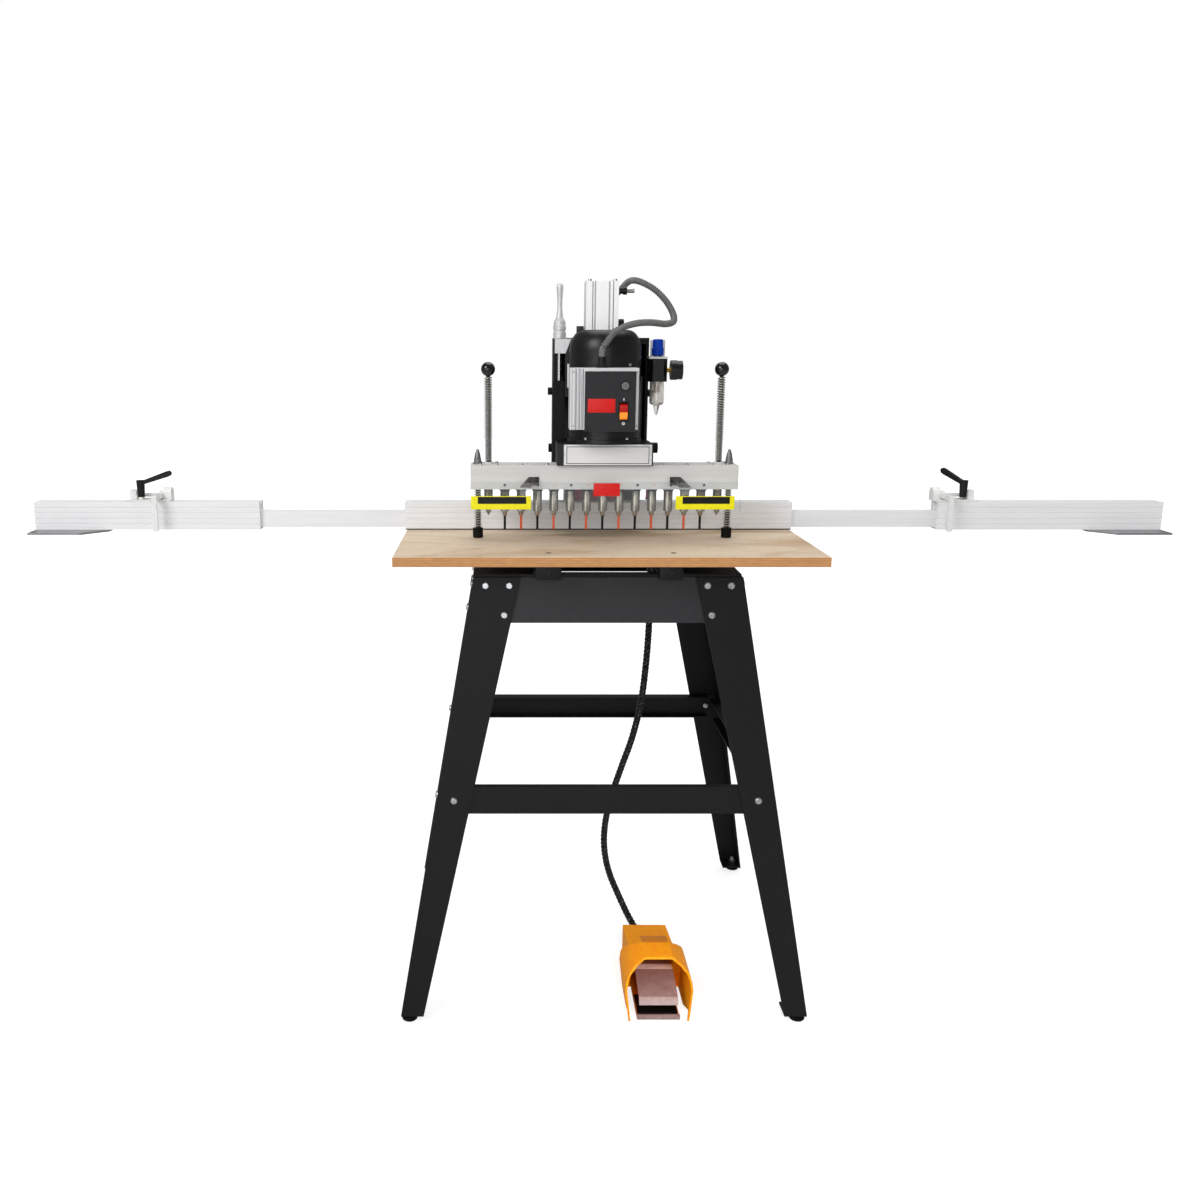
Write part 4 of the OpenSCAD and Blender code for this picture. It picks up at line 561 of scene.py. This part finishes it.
HOSE_ROUTE = [
    (114, 30, 842), (114, 30, 800), (114, 30, 760), (114, 30, 706), (110, 30, 620),
    (101, 30, 530), (84, 30, 450), (63, 30, 385), (43, 30, 320), (31, 30, 265), (27, 30, 215),
    (31, 30, 170), (41, 30, 130), (54, 29, 97), (68, 24, 66), (81, 12, 41), (92, -6, 26),
    (100, -27, 20), (105, -45, 20), (107, -58.7, 22), (107, -71.7, 22)]
HOSE_D = 15
HOSE_TWIST = 36
HOSES = 4


def pedal_hoses():
    """Four small black air hoses laid into one rope, from the plate's fitting to the back of the
    pedal, with a turn of the rope every 36 mm."""
    middle, length = evenly(curve_through(HOSE_ROUTE, 12), 3.0)
    sides = frames_along(middle, (0, 1, 0))
    step = length / (len(middle) - 1)
    each = 0.235 * HOSE_D
    off_middle = HOSE_D / 2 - each

    def build(bm):
        for k in range(HOSES):
            path = []
            for i, (p, (side, up)) in enumerate(zip(middle, sides)):
                a = 2 * math.pi * (k / HOSES + i * step / HOSE_TWIST)
                path.append(p + off_middle * (side * math.cos(a) + up * math.sin(a)))
            swept(bm, path, [each] * len(path), 10)

    made = piece("pedal_hose_rope", build, [polyurethane], "stand")
    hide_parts("pedal_hose")


camera()
pedal_hoses()
studio()


# ---- finishes of the part's own pieces ----

# Vertices this close are one, faces this level are one, and edges turned more than this are eased
WELD_MM = 0.01
LEVEL_WITHIN = math.radians(0.5)
SHARP_FROM = math.radians(32)


def dress(node, finishes, rules=(), bevel_mm=0.6, smooth=True):
    """Gives a CAD node its materials and soft edges. Each rule is a material's number and a test
    that is given a face's middle in millimetres, and its normal."""
    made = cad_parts[node]
    mesh = made.data
    mesh.materials.clear()
    for material in finishes:
        mesh.materials.append(material)
    for face in mesh.polygons:
        middle = face.center * PER_METRE
        face.use_smooth = smooth
        face.material_index = 0
        for number, test in rules:
            if test(middle, face.normal):
                face.material_index = number
    if bevel_mm:
        weld = made.modifiers.new("weld", "WELD")
        weld.merge_threshold = WELD_MM * MM
        merge = made.modifiers.new("whole_faces", "DECIMATE")
        merge.decimate_type = "DISSOLVE"
        merge.angle_limit = LEVEL_WITHIN
        merge.delimit = {"MATERIAL"}
        soft = made.modifiers.new("soft_edges", "BEVEL")
        soft.width = bevel_mm * MM
        soft.segments = 2
        soft.limit_method = "ANGLE"
        soft.angle_limit = SHARP_FROM
        level = made.modifiers.new("flat_faces", "WEIGHTED_NORMAL")
        level.keep_sharp = True


def above(z):
    """A rule's test: the face's middle is higher than z."""
    return lambda p, n: p.z > z


def below(z):
    """A rule's test: the face's middle is lower than z."""
    return lambda p, n: p.z < z


def away(x, y):
    """Measures how far a point is from an upright axis."""
    return lambda p: math.hypot(p.x - x, p.y - y)


# Painted shade: the back legs and the braces get the darker coat, as the table shades them.
# Painted light: the rails get the lighter coat, as they catch the light
dress("legs", [powder_coat, powder_coat_painted_shade], [(1, lambda p, n: p.y > 0)], 0.8)
dress("stand_rails", [powder_coat_painted_light, powder_coat_painted_shade], [(1, below(700))], 0.8)
# A foot's screw stands out of its rubber
dress("levelling_feet", [nitrile_rubber, zinc_plate], [(1, above(14))], 0.4)
dress("stand_bolts", [zinc_plate], bevel_mm=0.3)
# The base frame gets the darker coat: painted shade under the table
dress("base_frame", [powder_coat_painted_shade], bevel_mm=0.5)
# The casting is crimson at its front and its foot, and the post behind it is black
dress("column", [motor_enamel, crimson_enamel], [(1, lambda p, n: p.y < 69.1 or p.z < 884.1)], 1.0)
dress("head_housing", [case_coat], bevel_mm=0.7)
dress("guide_rods", [ground_steel], bevel_mm=0.5)
dress("table_top", [birch, ply_edge], [(1, lambda p, n: abs(n.z) < 0.5)], 1.0)
# The outer fences end in support plates of sheet, with nylon buttons under them
for node in ("fence", "outer_fence_left", "outer_fence_right"):
    dress(node, [anodised, mill_sheet, nylon],
          [(1, lambda p, n: p.z < TABLE_TOP + 0.05 and abs(p.x) > 800), (2, below(906.95))], 0.4)
# Each stop has a steel stud with a nickel collar
for side, stud_x in (("left", -939), ("right", 749)):
    from_stud = away(stud_x, 9)
    dress("stop_base_" + side, [white_enamel, ground_steel, nickel],
          [(1, lambda p, n, d=from_stud: d(p) < 4.3 and p.z > 972.4),
           (2, lambda p, n, d=from_stud: 4.2 < d(p) < 7.3 and 972.35 < p.z < 977.4)], 0.7)
    dress("stop_lever_" + side, [nylon], bevel_mm=1.4)
    dress("stop_arm_" + side, [white_enamel], bevel_mm=0.9)
# The gauge's neck is brass, and the bracket under the knob is bright
from_filter = away(FILTER_X, FILTER_Y)
dress("filter_regulator", [black_polyester, brass, anodised_upright],
      [(1, lambda p, n: 125.05 < p.x < 132.95 and p.z < 1250),
       (2, lambda p, n: p.z > 1255.9 and from_filter(p) > 9.4)], 0.4)
dress("filter_bowl", [clear_bowl], bevel_mm=0.3)
dress("regulator_knob", [blue_nylon], bevel_mm=0.4)
# The barrel's slots are darker: painted shade. Its foot, the conduit's gland and the fittings are
# black, and one fitting ends in nickel.
dress("air_cylinder", [barrel, black_polyester, nickel, shallow_slot_painted_shade],
      [(3, lambda p, n: abs(p.x) < 31.5 and abs(p.y - CYLINDER_Y) < 31.5 and abs(n.z) < 0.5
        and 1305 < p.z < 1404),
       (1, lambda p, n: p.z < 1304.05 or (abs(p.x) > 34 and p.z < 1314) or p.y > 60
        or p.x > 32.05),
       (2, lambda p, n: p.x > 49.1)], 0.5)
# The depth stop's block is bright, and so are the piston and its rod
dress("carriage", [motor_enamel, anodised_upright, ground_steel],
      [(1, lambda p, n: p.x < -61.9 and p.y < -15.1 and p.z > 1265.9),
       (2, lambda p, n: p.z > 1222.1 and p.y > 0)], 0.5)
dress("motor_base", [motor_enamel], bevel_mm=1.2)
dress("motor_body", [motor_enamel], bevel_mm=0.5)
dress("motor_cowl", [motor_enamel], bevel_mm=0.6)
dress("motor_rotor", [turned_steel], bevel_mm=0.3)
dress("gear_housing", [milled], bevel_mm=0.9)
# The box ends in a cable gland, and the rocker is amber on its lower half
dress("switch_box", [anodised_upright, nylon], [(1, above(1241.05))], 0.4)
dress("switch_cover", [abs_charcoal], bevel_mm=1.2, smooth=False)
dress("rocker_switch", [red_polycarbonate, amber_polycarbonate], [(1, below(1163))], 0.4)
dress("push_button", [satin_nickel], bevel_mm=0.6)
dress("guard", [clear_sheet], bevel_mm=0, smooth=False)
# The tabs are clear where they lie on the guard
dress("guard_brackets", [oiled_steel, clear_sheet], [(1, below(1016))], 0.3)
# An index pin is bright under the beam, with a dark rod inside its spring and a black ball over
# it. A hold-down stands on rubber, and its top is nickel.
for side, _ in SIDES:
    dress("index_pin_" + side, [turned_steel, oiled_steel, phenolic],
          [(1, above(BEAM_TOP)), (2, above(1223))], 0.3)
    dress("hold_down_" + side, [oiled_steel, nitrile_rubber, satin_nickel],
          [(1, below(930.1)), (2, above(BEAM_TOP))], 0.4)
dress("stop_handle", [turned_aluminium], bevel_mm=0.3)
dress("stop_rod", [ground_steel], bevel_mm=0.3)
# The pedal's floor is a darker orange on top, painted shade, and the treadle's pivot and the valve
# on it are black
dress("pedal_base", [hammered, abs_orange_painted_shade, nylon],
      [(1, lambda p, n: n.z > 0.5 and p.z < 5), (2, above(10.5))], 0.4)
dress("pedal_hood", [abs_orange], bevel_mm=2.0)
# The treadle's crest and lip are lighter: painted highlights
dress("pedal_treadle", [hammered, enamel_painted_highlight, enamel_painted_lip_highlight],
      [(1, above(60.5)), (2, lambda p, n: p.y < -324 and n.y < -0.3)], 0.8)
# Right-hand and left-hand bits stand by turns, told apart by their colour
for i in range(1, SPINDLES + 1):
    bit = orange_lacquer if i % 2 == 0 else black_oxide
    dress(f"spindle_{i:02d}", [turned_steel, bit], [(1, below(955))], 0.25)


# ---- conduit and springs ----

CONDUIT_ROUTE = [
    (-13, -187.5, 1261), (-13, -187.5, 1274), (-4, -186, 1288), (10, -176, 1305),
    (32, -163, 1316), (58, -147, 1322), (86, -127, 1323), (112, -106, 1321), (129, -87, 1325),
    (133, -68, 1336), (128, -50, 1353), (117, -34, 1371), (101, -18, 1388), (83, -2, 1400),
    (67, 16, 1407), (56, 38, 1406), (46, 60, 1396), (32, 76, 1378), (18, 83, 1356), (8, 84, 1329),
    (8, 84, 1316)]
CONDUIT_R = 6.5
CUFF_R = 6.0
CUFF_POINTS = 12
RIB_MM = 5.2
RIB_DEPTH = 1.1


def conduit():
    """Corrugated conduit: a rib every 5.2 mm, with plain cuffs at both glands."""
    middle, _ = evenly(curve_through(CONDUIT_ROUTE, 14), RIB_MM / 4)
    count = len(middle)
    radii = [CONDUIT_R - RIB_DEPTH + RIB_DEPTH * math.cos(math.pi / 2 * i)
             if CUFF_POINTS < i < count - CUFF_POINTS else CUFF_R for i in range(count)]
    made = piece("corrugated_conduit", lambda bm: swept(bm, middle, radii, 20), [pvc_conduit], None,
                 smooth=60)
    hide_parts("conduit")
    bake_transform(made)


def coil(x, low, high, outer_d, wire_d, curls):
    """The middle line of an evenly wound coil spring on the drill line."""
    radius = (outer_d - wire_d) / 2
    steps = curls * 20
    points = []
    for i in range(steps + 1):
        t = i / steps
        rise = low + wire_d / 2 + (high - low - wire_d) * t
        a = 2 * math.pi * curls * t
        points.append(Vector((x + radius * math.cos(a), DRILL_Y + radius * math.sin(a), rise)))
    return points


def springs():
    """The index pins' and hold-downs' springs, wound from round wire."""
    for side, sign in SIDES:
        for kind, x, low, high, outer_d, wire_d, curls, anchor, keep, joint in (
                ("index", 224, 1060.2, 1222.6, 15, 2.8, 34, 1060, 0.755, f"index_{side}_slide"),
                ("hold_down", 245, 930.2, 1009.8, 14, 2.4, 16, 1010, 0.6875, f"hold_{side}_slide")):
            line = coil(sign * x, low, high, outer_d, wire_d, curls)
            made = piece(f"{kind}_spring_{side}",
                         lambda bm: swept(bm, line, [wire_d / 2] * len(line), 8),
                         [spring_wire], "head")
            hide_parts(kind + "_springs")
            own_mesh(made)


conduit()
springs()


# ---- plates, screws and other small pieces ----

# Each pair is a screw's head and the recess in it
BRIGHT_SCREW = [zinc_plate, oiled_steel]
DARK_SCREW = [oiled_steel, black_oxide]
# Fronts of the guard, of the switch box and of its cover, and the middles of button and gauge
GUARD_FRONT = -163.5
BOX_FRONT = -203.5
COVER_FRONT = -213.7
BUTTON_X, BUTTON_FRONT, BUTTON_Z = 28, -217.7, 1209
GAUGE_X, GAUGE_Z = 152.3, 1234


def screw(bm, at, axis, head_d, head_h):
    """A low round head with a hexagon recess."""
    r = head_d / 2
    rim = (r * 0.46, head_h - 0.05)
    turned(bm, [(0, -0.5), (r, -0.5), (r, head_h * 0.5), (r * 0.86, head_h * 0.9),
                (r * 0.5, head_h), rim], at, axis, 24, 0)
    turned(bm, [rim, (r * 0.46, head_h * 0.45), (0, head_h * 0.45)], at, axis, 6, 1)


def screws(name, places, axis, head_d, head_h, finishes, body):
    """Several screws as one piece."""
    def build(bm):
        for at in places:
            screw(bm, at, axis, head_d, head_h)
    piece(name, build, finishes, body)


def plate(name, low, high, face, body):
    """A thin bare plate, its edges eased."""
    piece(name, lambda bm: block(bm, low, high), [face], body, bevel_mm=0.25)


def name_plate():
    """The bare silver plate on the motor base, with a thin dark line round it."""
    def build(bm):
        block(bm, (-79, -141.1, 1057.5), (89, -139.9, 1096.5), 0)
        border(bm, (-74, 1060), (84, 1093), 1.2, 1.2, -141.25, -141.0, 1)
    piece("bare_name_plate", build, [plate_silver, black_vinyl], "head")
    screws("name_plate_rivets", [(x, -141.1, 1077) for x in (-77.3, 87.3)], TO_FRONT, 1.8, 0.6,
           BRIGHT_SCREW, "head")


def guard_plates():
    """Bare plates on the guard: two yellow ones with a black band, and a red one in the middle."""
    y = GUARD_FRONT
    for side, x0, x1 in (("left", -256.5, -142), ("right", 134, 246)):
        def build(bm, x0=x0, x1=x1):
            block(bm, (x0, y - 0.6, 975.5), (x1, y - 0.05, 1001), 0)
            block(bm, (x0 + 13, y - 0.75, 986.2), (x1 - 9, y - 0.55, 999.6), 1)
        piece("yellow_plate_" + side, build, [yellow_vinyl, black_vinyl], "head")
    plate("red_plate_guard", (-23, y - 0.6, 1001), (27, y - 0.05, 1025.5), red_vinyl, "head")


def switch_details():
    """The cover's bare red plate, a dark ring round the button as painted shadow, the button's
    pad, painted shade in the grooves of the box, the rocker's bezel and marks, and the screws."""
    y = COVER_FRONT
    plate("red_plate_cover", (-40, y - 0.5, 1161), (10.5, y - 0.02, 1186), red_vinyl, "head")

    # A dark ring round the button: painted shadow
    def ring(bm):
        turned(bm, [(7.2, -0.2), (8.5, -0.2), (8.5, 0.7), (8.1, 1.1), (7.6, 1.1), (7.2, 0.7),
                    (7.2, -0.2)], (BUTTON_X, y, BUTTON_Z), TO_FRONT)
    piece("button_painted_shadow_ring", ring, [nylon], "head")

    def pad(bm):
        turned(bm, [(0, 0.25), (4.6, 0.25), (5.3, 0.1), (5.4, -0.2)],
               (BUTTON_X, BUTTON_FRONT, BUTTON_Z), TO_FRONT)
    piece("button_pad", pad, [grey_plastic], "button")

    # Dark strips in the box's grooves: painted shade
    def grooves(bm):
        for x in (-60.6, -54.2, -47.9):
            block(bm, (x - 0.7, BOX_FRONT - 0.1, 1130), (x + 0.7, BOX_FRONT + 0.2, 1240))
    piece("box_painted_shade_strips", grooves, [groove_painted_shade], "head")

    def bezel(bm):
        border(bm, (17, 1145.5), (35, 1180.5), 1.4, 1.5, y - 1.4, y + 0.2)
    piece("rocker_bezel", bezel, [nylon], "head", bevel_mm=0.3)

    def marks(bm):
        block(bm, (25.2, y - 0.15, 1182.6), (26.8, y + 0.05, 1186.6))
        turned(bm, [(1.4, -0.05), (2.7, -0.05), (2.7, 0.15), (1.4, 0.15), (1.4, -0.05)],
               (26, y, 1141), TO_FRONT, 24)
    piece("rocker_marks", marks, [white_vinyl], "head")
    screws("cover_screws", [(x, y, z) for x in (-40.5, 43.5) for z in (1130.5, 1230.5)], TO_FRONT,
           4.6, 1, DARK_SCREW, "head")
    screws("box_screws", [(x, BOX_FRONT, z) for x in (-66.5, 51) for z in (1136, 1234)], TO_FRONT,
           3.6, 0.8, BRIGHT_SCREW, "head")


def beam_details():
    """Set screws over the left-hand spindles, orange dots over the others, the beam's cap screws
    and the screws of the guard's tabs."""
    odd, even = [[(spindle_x(i), BEAM_FRONT, 1018.5) for i in range(first, SPINDLES + 1, 2)]
                 for first in (1, 2)]
    screws("beam_set_screws", odd, TO_FRONT, 5.2, 0.5, [black_oxide, black_oxide], "head")

    def dots(bm):
        for at in even:
            turned(bm, [(0, 0.12), (1.1, 0.12), (1.2, 0.0), (1.2, -0.1)], at, TO_FRONT, 24)
    piece("beam_dots", dots, [orange_lacquer], "head")
    outer = [(s * x, y, BEAM_TOP) for s in (-1, 1) for x in (208, 239) for y in (-120, -78)]
    inner = [(s * x, -120, BEAM_TOP) for s in (-1, 1) for x in (110, 160)]
    screws("beam_cap_screws", outer + inner, UP, 6.5, 3, BRIGHT_SCREW, "head")
    screws("tab_screws", [(s * 136, -134.7, 1026) for s in (-1, 1)], TO_FRONT, 6, 2, DARK_SCREW,
           "head")


def motor_details():
    """Two screws in the cowl's side, and the two front bolts of the motor's flange."""
    cowl_r, flange_r = 68.5, 67.98

    def build(bm):
        for angle in (-52, 128):
            x, y = math.cos(math.radians(angle)), math.sin(math.radians(angle))
            screw(bm, (cowl_r * x, DRILL_Y + cowl_r * y, 1246), (x, y, 0), 6, 2.2)
    piece("cowl_screws", build, BRIGHT_SCREW, "head")
    bolts = [(flange_r * math.cos(a), DRILL_Y + flange_r * math.sin(a), 1107.2)
             for a in (math.radians(-125), math.radians(-55))]
    screws("flange_bolts", bolts, UP, 7, 4, BRIGHT_SCREW, "head")


def table_screws():
    """Two dark countersunk screws that hold the board."""
    def build(bm):
        for x in (-112, 117):
            turned(bm, [(0, 0.05), (2.0, 0.05), (2.2, 0.3), (5.2, 0.3), (5.6, 0.0), (5.6, -0.4)],
                   (x, -275, TABLE_TOP), UP, 32)
    piece("table_screws", build, [oiled_steel], "table")


def gauge_details():
    """The gauge's white dial with ticks, a needle and a rim, facing to the right."""
    x, y, z = centre = (GAUGE_X, FILTER_Y, GAUGE_Z)
    ticks, first_tick, between_ticks, tick_r = 11, -40, 26, 11.6

    def face(bm):
        turned(bm, [(0, 0), (15.4, 0), (15.4, -0.2)], centre, TO_RIGHT, 48, 0)
        for k in range(ticks):
            a = math.radians(first_tick + between_ticks * k)
            for j in range(3):
                dot_y, dot_z = y + (tick_r + j) * math.cos(a), z + (tick_r + j) * math.sin(a)
                block(bm, (x, dot_y - 0.35, dot_z - 0.35), (x + 0.2, dot_y + 0.35, dot_z + 0.35), 1)
        turned(bm, [(0, 0.9), (1.6, 0.9), (1.6, 0)], centre, TO_RIGHT, 24, 1)
        for j in range(10):
            dot_y, dot_z = y + j * 0.9, z + j * 0.8
            block(bm, (x + 0.3, dot_y - 0.4, dot_z - 0.4), (x + 0.7, dot_y + 0.4, dot_z + 0.4), 2)
    piece("gauge_dial", face, [white_vinyl, black_vinyl, red_vinyl], "stand")

    def rim(bm):
        turned(bm, [(15.7, -1.2), (17.9, -1.2), (18.3, 0), (18.0, 1.6), (16.6, 1.9), (15.7, 1.1),
                    (15.7, -1.2)], (154.1, y, z), TO_RIGHT, 64)
    piece("gauge_rim", rim, [black_polyester], "stand")


def stop_strip():
    """The white strip on the depth stop's arm."""
    def build(bm):
        block(bm, (-69, -37.5, 1200), (-65, -36.9, 1246))
    piece("stop_strip", build, [white_vinyl], "head", bevel_mm=0.1)


def cylinder_details():
    """Two dark strips of painted shade in grooves down the air cylinder's front, the black ports
    at its foot and the cap screws of its top."""
    def grooves(bm):
        for x in (-19, 21.6):
            block(bm, (x - 0.9, -11.15, 1305), (x + 0.9, -10.8, 1404))
    piece("barrel_painted_shade_strips", grooves, [groove_painted_shade], "stand")

    def ports(bm):
        block(bm, (-48, 8, 1304.1), (-35, 34, 1319))
        block(bm, (34, 8, 1304.1), (47, 34, 1317))
        turned(bm, [(0, 0), (7, 0), (8, 1), (8, 12), (7, 13), (0, 13)], (33, CYLINDER_Y, 1325),
               TO_RIGHT, 32)
    piece("foot_ports", ports, [black_polyester], "stand", bevel_mm=1.0)
    screws("cylinder_top_screws", [(x, CYLINDER_Y + y, 1405) for x in (-25, 25) for y in (-25, 25)],
           UP, 8, 4, BRIGHT_SCREW, "stand")


def table_guides():
    """Two black guide blocks under the table's front edge, each with a screw."""
    front = -317

    def build(bm):
        for x0, x1 in ((-136, -90), (87, 128)):
            block(bm, (x0, front, 868.7), (x1, -292, 892.7))
    # The blocks get the darker coat: painted shade under the board
    piece("table_guides", build, [powder_coat_painted_shade], "table", bevel_mm=1.2)
    screws("guide_screws", [(x, front, 882) for x in (-113, 107.5)], TO_FRONT, 7, 2, DARK_SCREW,
           "table")


def hood_panel():
    """The sunk panel on top of the pedal's rear box, which falls 18 mm in 131 mm to the back."""
    front_y, front_z, fall, run = -210, 82, 18, 131

    def build(bm):
        for y0, y1, up in ((-186, -143, 0.5), (-180, -149, 0.9)):
            inset = (up - 0.5) * 12
            for v in block(bm, (91 + inset, y0, 0), (145 - inset, y1, 1)):
                lift = up if v.co.z > 0.5 else -0.6
                v.co.z = front_z - (v.co.y - front_y) * fall / run + lift
    # The panel is a darker orange: painted shade in its recess
    piece("hood_panel", build, [abs_orange_painted_shade], "stand", bevel_mm=0.2)


def pedal_floor_painted_shade():
    """The ribbed black rubber mat on the pedal's floor, under the treadle's lip: painted shade."""
    def build(bm):
        block(bm, (67.5, -331.5, 3.9), (146.5, -255, 5.4))
        for k in range(7):
            block(bm, (70, -328 + 9 * k, 5.3), (144, -325 + 9 * k, 6.1))
    piece("pedal_floor_painted_shade", build, [nitrile_rubber], "stand", bevel_mm=0.2)


def nose_seals():
    """A black dust seal round each nose, where it leaves the beam."""
    def build(bm):
        for i in range(1, SPINDLES + 1):
            turned(bm, [(8.95, 0.5), (8.95, -6.0), (9.6, -6.4), (10.4, -5.6), (10.4, 0.5),
                        (8.95, 0.5)], (spindle_x(i), DRILL_Y, BEAM_LOW), UP, 40)
    piece("nose_seals", build, [nitrile_rubber], "head")


def hold_down_caps():
    """The stepped cap nut over each hold-down's top."""
    for side, sign in SIDES:
        def build(bm, sign=sign):
            turned(bm, [(8.4, 0.3), (8.4, 2.6), (7.2, 3.4), (7.2, 10.5), (6.0, 12), (6.0, 15),
                        (4.9, 20), (3.2, 25), (1.6, 27.6), (0, 28.3)],
                   (sign * 245, DRILL_Y, BEAM_TOP), UP, 40)
        piece("hold_down_cap_" + side, build, [satin_nickel], "hold_" + side,
              smooth=28)


def bowl_element():
    """The filter's element and baffle, seen through the bowl."""
    def build(bm):
        turned(bm, [(0, 0), (5.5, 0), (6.5, 1), (6.5, 16), (9.5, 17), (9.5, 20), (0, 20)],
               (FILTER_X, FILTER_Y, 1190.5), UP, 32)
    piece("filter_element", build, [sintered_bronze], "stand")


def red_fitting():
    """The small red hose fitting that shows between the spindles, under the case."""
    def build(bm):
        turned(bm, [(0, 0), (5, 0), (5, 4), (4, 5), (4, 24), (5.5, 25), (5.5, 34), (4.5, 36),
                    (0, 36)], (105, 40, 968.5), UP, 32)
    piece("red_fitting", build, [red_nylon], "stand")


def casting_face():
    """The crimson face of the casting, seen behind the spindles, with the two bosses that carry
    the post."""
    front = 67.6

    def build(bm):
        block(bm, (-45, front, 885), (46, 69.6, 999.6))
        for x in (-30, 31):
            turned(bm, [(0, 2.4), (6, 2.4), (7.5, 1.2), (7.5, -0.5)], (x, front, 984), TO_FRONT, 32)
    piece("casting_face", build, [crimson_enamel], "stand", bevel_mm=0.6)


def fence_painted_shadow_line():
    """A dark strip where the fence meets the board, at its front and back: painted shadow."""
    def build(bm):
        for y0, y1 in ((-2.6, -1.9), (35.9, 36.6)):
            block(bm, (-396, y0, TABLE_TOP + 0.05), (396, y1, TABLE_TOP + 2.2))
    piece("fence_painted_shadow_line", build, [nylon], "table")


def bit_spirals():
    """The two spiral lands of each boring bit, 1.6 turns over its length. They wind the other way
    on the left-hand bits."""
    turns, steps, low, rise, radius, thick = 1.6, 36, 928.6, 21, 1.9, 0.62
    for i in range(1, SPINDLES + 1):
        x = spindle_x(i)
        hand = 1 if i % 2 == 0 else -1

        def build(bm):
            for start in (0, math.pi):
                path = []
                for k in range(steps + 1):
                    t = k / steps
                    a = start + hand * 2 * math.pi * turns * t
                    path.append(Vector((x + radius * math.cos(a), DRILL_Y + radius * math.sin(a),
                                        low + rise * t)))
                swept(bm, path, [thick] * len(path), 6, (0, 0, 1))
        piece(f"bit_spiral_{i:02d}", build, [orange_lacquer if hand > 0 else black_oxide],
              f"spindle_{i:02d}_body")


name_plate()
guard_plates()
switch_details()
beam_details()
motor_details()
table_screws()
gauge_details()
stop_strip()
cylinder_details()
table_guides()
hood_panel()
pedal_floor_painted_shade()
nose_seals()
hold_down_caps()
bowl_element()
red_fitting()
casting_face()
fence_painted_shadow_line()
bit_spirals()
